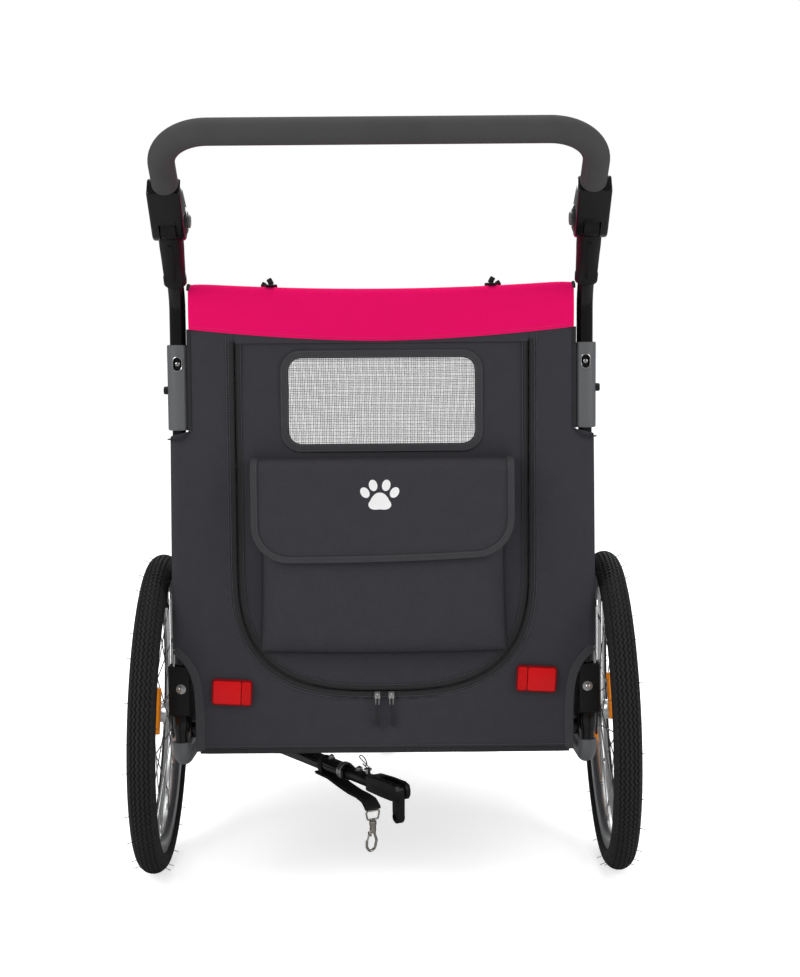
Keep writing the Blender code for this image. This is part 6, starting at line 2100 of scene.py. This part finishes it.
    # webbing under the arm, folded round the ring of the snap hook
    down = [(-0.240, -0.0146), (-0.200, -0.0150), (-0.165, -0.0215), (-0.135, -0.0262),
            (-0.110, -0.0275), (-0.092, -0.0300), (-0.083, -0.0360), (-0.0775, -0.0405),
            (-0.0790, -0.0440), (-0.0835, -0.0440), (-0.0865, -0.0400), (-0.0945, -0.0335),
            (-0.112, -0.0302), (-0.136, -0.0288), (-0.166, -0.0242), (-0.200, -0.0180),
            (-0.238, -0.0168)]
    pathRun = arcCorners([on(a, 0, b) for a, b in down], 0.0016, 4, closed=False)
    normals = (arm.to_3x3() @ Vector((0, 1, 0)))
    strapSection = [(-0.00065, -0.0125), (0.00065, -0.0125), (0.00065, 0.0125), (-0.00065, 0.0125)]
    strap = sweep("strap", evenly(pathRun, 0.0025), strapSection, normals)
    clothUv(strap)
    tie = []
    for a in np.linspace(0, 2 * math.pi, 28, endpoint=False):
        deep = 0.0145 if math.sin(a) > 0 else 0.0165
        tie.append(on(-0.222, 0.0136 * math.cos(a), -0.0015 + deep * math.sin(a)))
    loopBand = sweep("tie", tie, bandSection(0.012, 0.0010),
                     [p - on(-0.222, 0, -0.001) for p in tie], closed=True)
    clothUv(loopBand)
    piece("safety_strap_web", joined("web", [strap, loopBand]), "tow_arm", webbing,
          ["safety_strap"], "webbing")
    # the snap hook
    swing = Vector(joints["snap_hook_swing"]["pos_m"])
    local = Matrix.Translation(swing) @ arm.to_3x3().to_4x4()

    def hang(a, b, c):
        return local @ Vector((a, b, c))

    ringRun = arcCorners([hang(0, -0.0125, 0), hang(0, 0.0125, 0), hang(0, 0.0095, -0.0135),
                          hang(0, -0.0095, -0.0135)], 0.0030, 6)
    ring = tubeMesh("ring", ringRun, 0.0015, 12, closed=True)
    barrel = spun("barrel", [(0.0, 0.0125), (0.0030, 0.0128), (0.0034, 0.0150),
                             (0.0056, 0.0160), (0.0058, 0.0215), (0.0048, 0.0240),
                             (0.0052, 0.0300), (0.0046, 0.0350), (0.0, 0.0360)],
                  frameOf(swing, (0, 0, -1)), 32)
    bend = [hang(0, y, z) for y, z in ((0.0015, -0.033), (0.0065, -0.047), (0.0030, -0.060),
                                       (-0.0060, -0.0640), (-0.0115, -0.056),
                                       (-0.0110, -0.046))]
    bend = arcCorners(bend, 0.0045, 6, closed=False)
    hookMesh = tubeMesh("hook", evenly(bend, 0.0015), 0.0021, 14)
    gate = tubeMesh("gate", [hang(0, -0.0030, -0.0335), hang(0, -0.0085, -0.040),
                             hang(0, -0.0112, -0.050)], 0.0014, 12)
    lever = block("lever", (-0.0020, -0.0085, -0.0400), (0.0020, -0.0030, -0.0320), local, 0.0010)
    piece("snap_hook_metal", joined("hook", [ring, barrel, hookMesh, gate, lever]), "snap_hook",
          nickel, ["snap_hook"], "steel")


# ---------- front caster ----------

caster = {"radius": 0.100, "width": 0.038, "axleR": 0.0040, "fork": 0.005, "ring": 300,
          "blocks": 60}


def casterTyre(place):
    r, half = caster["radius"], caster["width"] / 2
    seat = r - 0.024
    shape = [(r - 0.0075, half), (r - 0.0045, half * 0.93), (r - 0.0022, half * 0.72),
             (r - 0.0010, half * 0.50), (r - 0.0002, half * 0.28), (r, 0.0),
             (r - 0.0002, -half * 0.28), (r - 0.0010, -half * 0.50), (r - 0.0022, -half * 0.72),
             (r - 0.0045, -half * 0.93), (r - 0.0075, -half), (r - 0.015, -half * 0.96),
             (seat + 0.0004, -half * 0.78), (seat + 0.0004, half * 0.78), (r - 0.015, half * 0.96)]
    n, m = caster["ring"], len(shape)
    points = []
    for k in range(n):
        a = 2 * math.pi * k / n
        notch = 1.0 if (k * caster["blocks"] / n) % 1.0 < 0.34 else 0.0
        for i, (rad, h) in enumerate(shape):
            cut = 0.0022 * notch if i in (1, 2, 3, 7, 8, 9) else 0.0
            cut += 0.0016 if i in (4, 6) else 0.0
            points.append(place @ Vector(((rad - cut) * math.cos(a), (rad - cut) * math.sin(a), h)))
    faces = [(k * m + i, ((k + 1) % n) * m + i, ((k + 1) % n) * m + (i + 1) % m,
              k * m + (i + 1) % m) for k in range(n) for i in range(m)]
    return tidied(meshFrom("caster", points, faces), 0.000001)


def makeCaster():
    c = caster
    axle = Vector(joints["caster_spin"]["pos_m"])
    place = frameOf(axle, (1, 0, 0))
    piece("caster_tread", casterTyre(place), "caster_wheel", rubber, ["caster_tyre"], "tyre")
    half, seat = c["width"] / 2, c["radius"] - 0.024
    ring = spun("ring", [(seat, half * 0.78), (seat, -half * 0.78), (seat - 0.004, -half * 0.80),
                         (seat - 0.0055, -half * 0.70), (seat - 0.0075, -0.004),
                         (seat - 0.0075, 0.004), (seat - 0.0055, half * 0.70),
                         (seat - 0.004, half * 0.80)], place, 72, loop=True)
    core = spun("core", [(0.0045, half + 0.003), (0.0110, half + 0.003), (0.0130, half + 0.0015),
                         (0.0150, 0.008), (0.0150, -0.008), (0.0130, -half - 0.0015),
                         (0.0110, -half - 0.003), (0.0045, -half - 0.003)], place, 48, loop=True)
    arm = slab("arm", [(0.0135, -0.0075), (seat - 0.0062, -0.0052), (seat - 0.0062, 0.0052),
                       (0.0135, 0.0075)], 0.009, Matrix.Identity(4), 0.0022, 3)
    spokes = around("arms", arm, place, greySatin, 6)
    piece("caster_spider", joined("rim", [ring, core, spokes]), "caster_wheel", greySatin,
          ["caster_rim"], "grey_plastic")
    # the fork
    swivel = Vector(joints["caster_swivel"]["pos_m"])
    forkTop = highOf("caster_fork").z
    mountLow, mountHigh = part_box("caster_mount")
    crown = 0.212
    inside = half + 0.004
    back = swivel.y - axle.y
    plateOutline = [(0.022, crown + 0.014), (-0.022, crown + 0.014), (-0.022, crown + 0.002),
                    (-back - 0.013, c["radius"] - 0.002), (-back - 0.010, c["radius"] - 0.011),
                    (-back, c["radius"] - 0.0140), (-back + 0.010, c["radius"] - 0.011),
                    (-back + 0.013, c["radius"] - 0.002), (0.020, crown - 0.004)]
    shape = [tuple(p) for p in arcCorners([Vector(p) for p in plateOutline], 0.003, 4)]
    parts = []
    for s in (-1, 1):
        leg = Matrix.Translation((s * (inside + c["fork"] / 2), swivel.y, 0)) @ yzPlane
        parts.append(slab("leg", shape, c["fork"], leg, 0.0012, 2))
    parts.append(block("crown", (-inside - c["fork"], swivel.y - 0.022, crown + 0.001),
                       (inside + c["fork"], swivel.y + 0.022, crown + 0.0155), bevel=0.0025))
    parts.append(spun("collar", [(0.0, crown + 0.012), (0.0165, crown + 0.012),
                                 (0.0165, crown + 0.0185), (0.0150, crown + 0.0200),
                                 (0.0080, crown + 0.0200), (0.0080, forkTop - 0.001),
                                 (0.0070, forkTop), (0.0, forkTop)],
                      Matrix.Translation((swivel.x, swivel.y, 0)), 40))
    piece("caster_fork_shell", joined("fork", parts), "caster_fork", satinBlack, ["caster_fork"],
          "bracket")
    ends = []
    for s in (-1, 1):
        spot = Vector((s * (inside + c["fork"]), axle.y, axle.z))
        ends.append(hexBolt(frameOf(spot, (s, 0, 0)), 0.0110, 0.0090, 0.0040))
    ends.append(tubeMesh("axle", [axle - Vector((inside, 0, 0)), axle + Vector((inside, 0, 0))],
                         c["axleR"], 20))
    piece("caster_axle_bolts", joined("ends", ends), "caster_fork", steel, slot="steel")
    # the arm that carries it
    start, top = mountLow.y - axleY, crown + 0.0204
    swivelY = swivel.y - axleY
    outline = [(start, 0.188), (start, 0.212), (0.785, top + 0.026), (swivelY + 0.024, top + 0.026),
               (swivelY + 0.024, top), (0.795, top), (0.735, 0.188)]
    shape = [tuple(p) for p in arcCorners([Vector(p) for p in outline], 0.005, 5, keep=(0, 1))]
    arm = slab("mount", shape, mountHigh.x - mountLow.x, Matrix.Translation(at(0, 0, 0)) @ yzPlane,
               0.0030, 3)
    bore = tubeMesh("bore", [Vector((0, swivel.y, 0.22)), Vector((0, swivel.y, 0.30))], 0.0084, 32)
    arm = carved(arm, bore)
    piece("caster_arm", arm, "chassis", satinBlack, ["caster_mount"], "bracket")
    cap = spun("cap", [(0.0086, 0.0), (0.0150, 0.0), (0.0150, 0.0015), (0.0130, 0.0030),
                       (0.0086, 0.0030)], Matrix.Translation((0, swivel.y, top + 0.026)), 40,
               loop=True)
    bolts = [cap]
    for s in (-1, 1):
        bolts.append(hexBolt(frameOf(at(s * 0.020, 0.722, 0.205), (s, 0, 0)), 0.0100, 0.0080))
    piece("caster_arm_bolts", joined("bolts", bolts), "chassis", steel, slot="steel")


makeWheels()
print("wheels made")
makeFrame()
makeBrackets()
makeSleeves()
makeHandle()
print("frame and handle made")
makeTowArm()
makeCaster()
print("tow arm and caster made")


# ---------- sewing, and the end ----------

stitch = {"pitch": 0.0042, "bar": (0.0007, 0.0006, 0.0030)}


def sewAll():
    threads = {"dark": (thread, "charcoal_cloth"), "pink": (pinkThread, "pink_cloth")}
    for (body, threadName), paths in sorted(seams.items()):
        material, slotName = threads[threadName]
        mesh = grown("stitches", curveOf(paths), "bars",
                     {"Pitch": stitch["pitch"], "Bar": stitch["bar"], "Material": material})
        piece("stitches_" + threadName + "_" + body, mesh, body, material, slot=slotName,
              smooth=False)


sewAll()
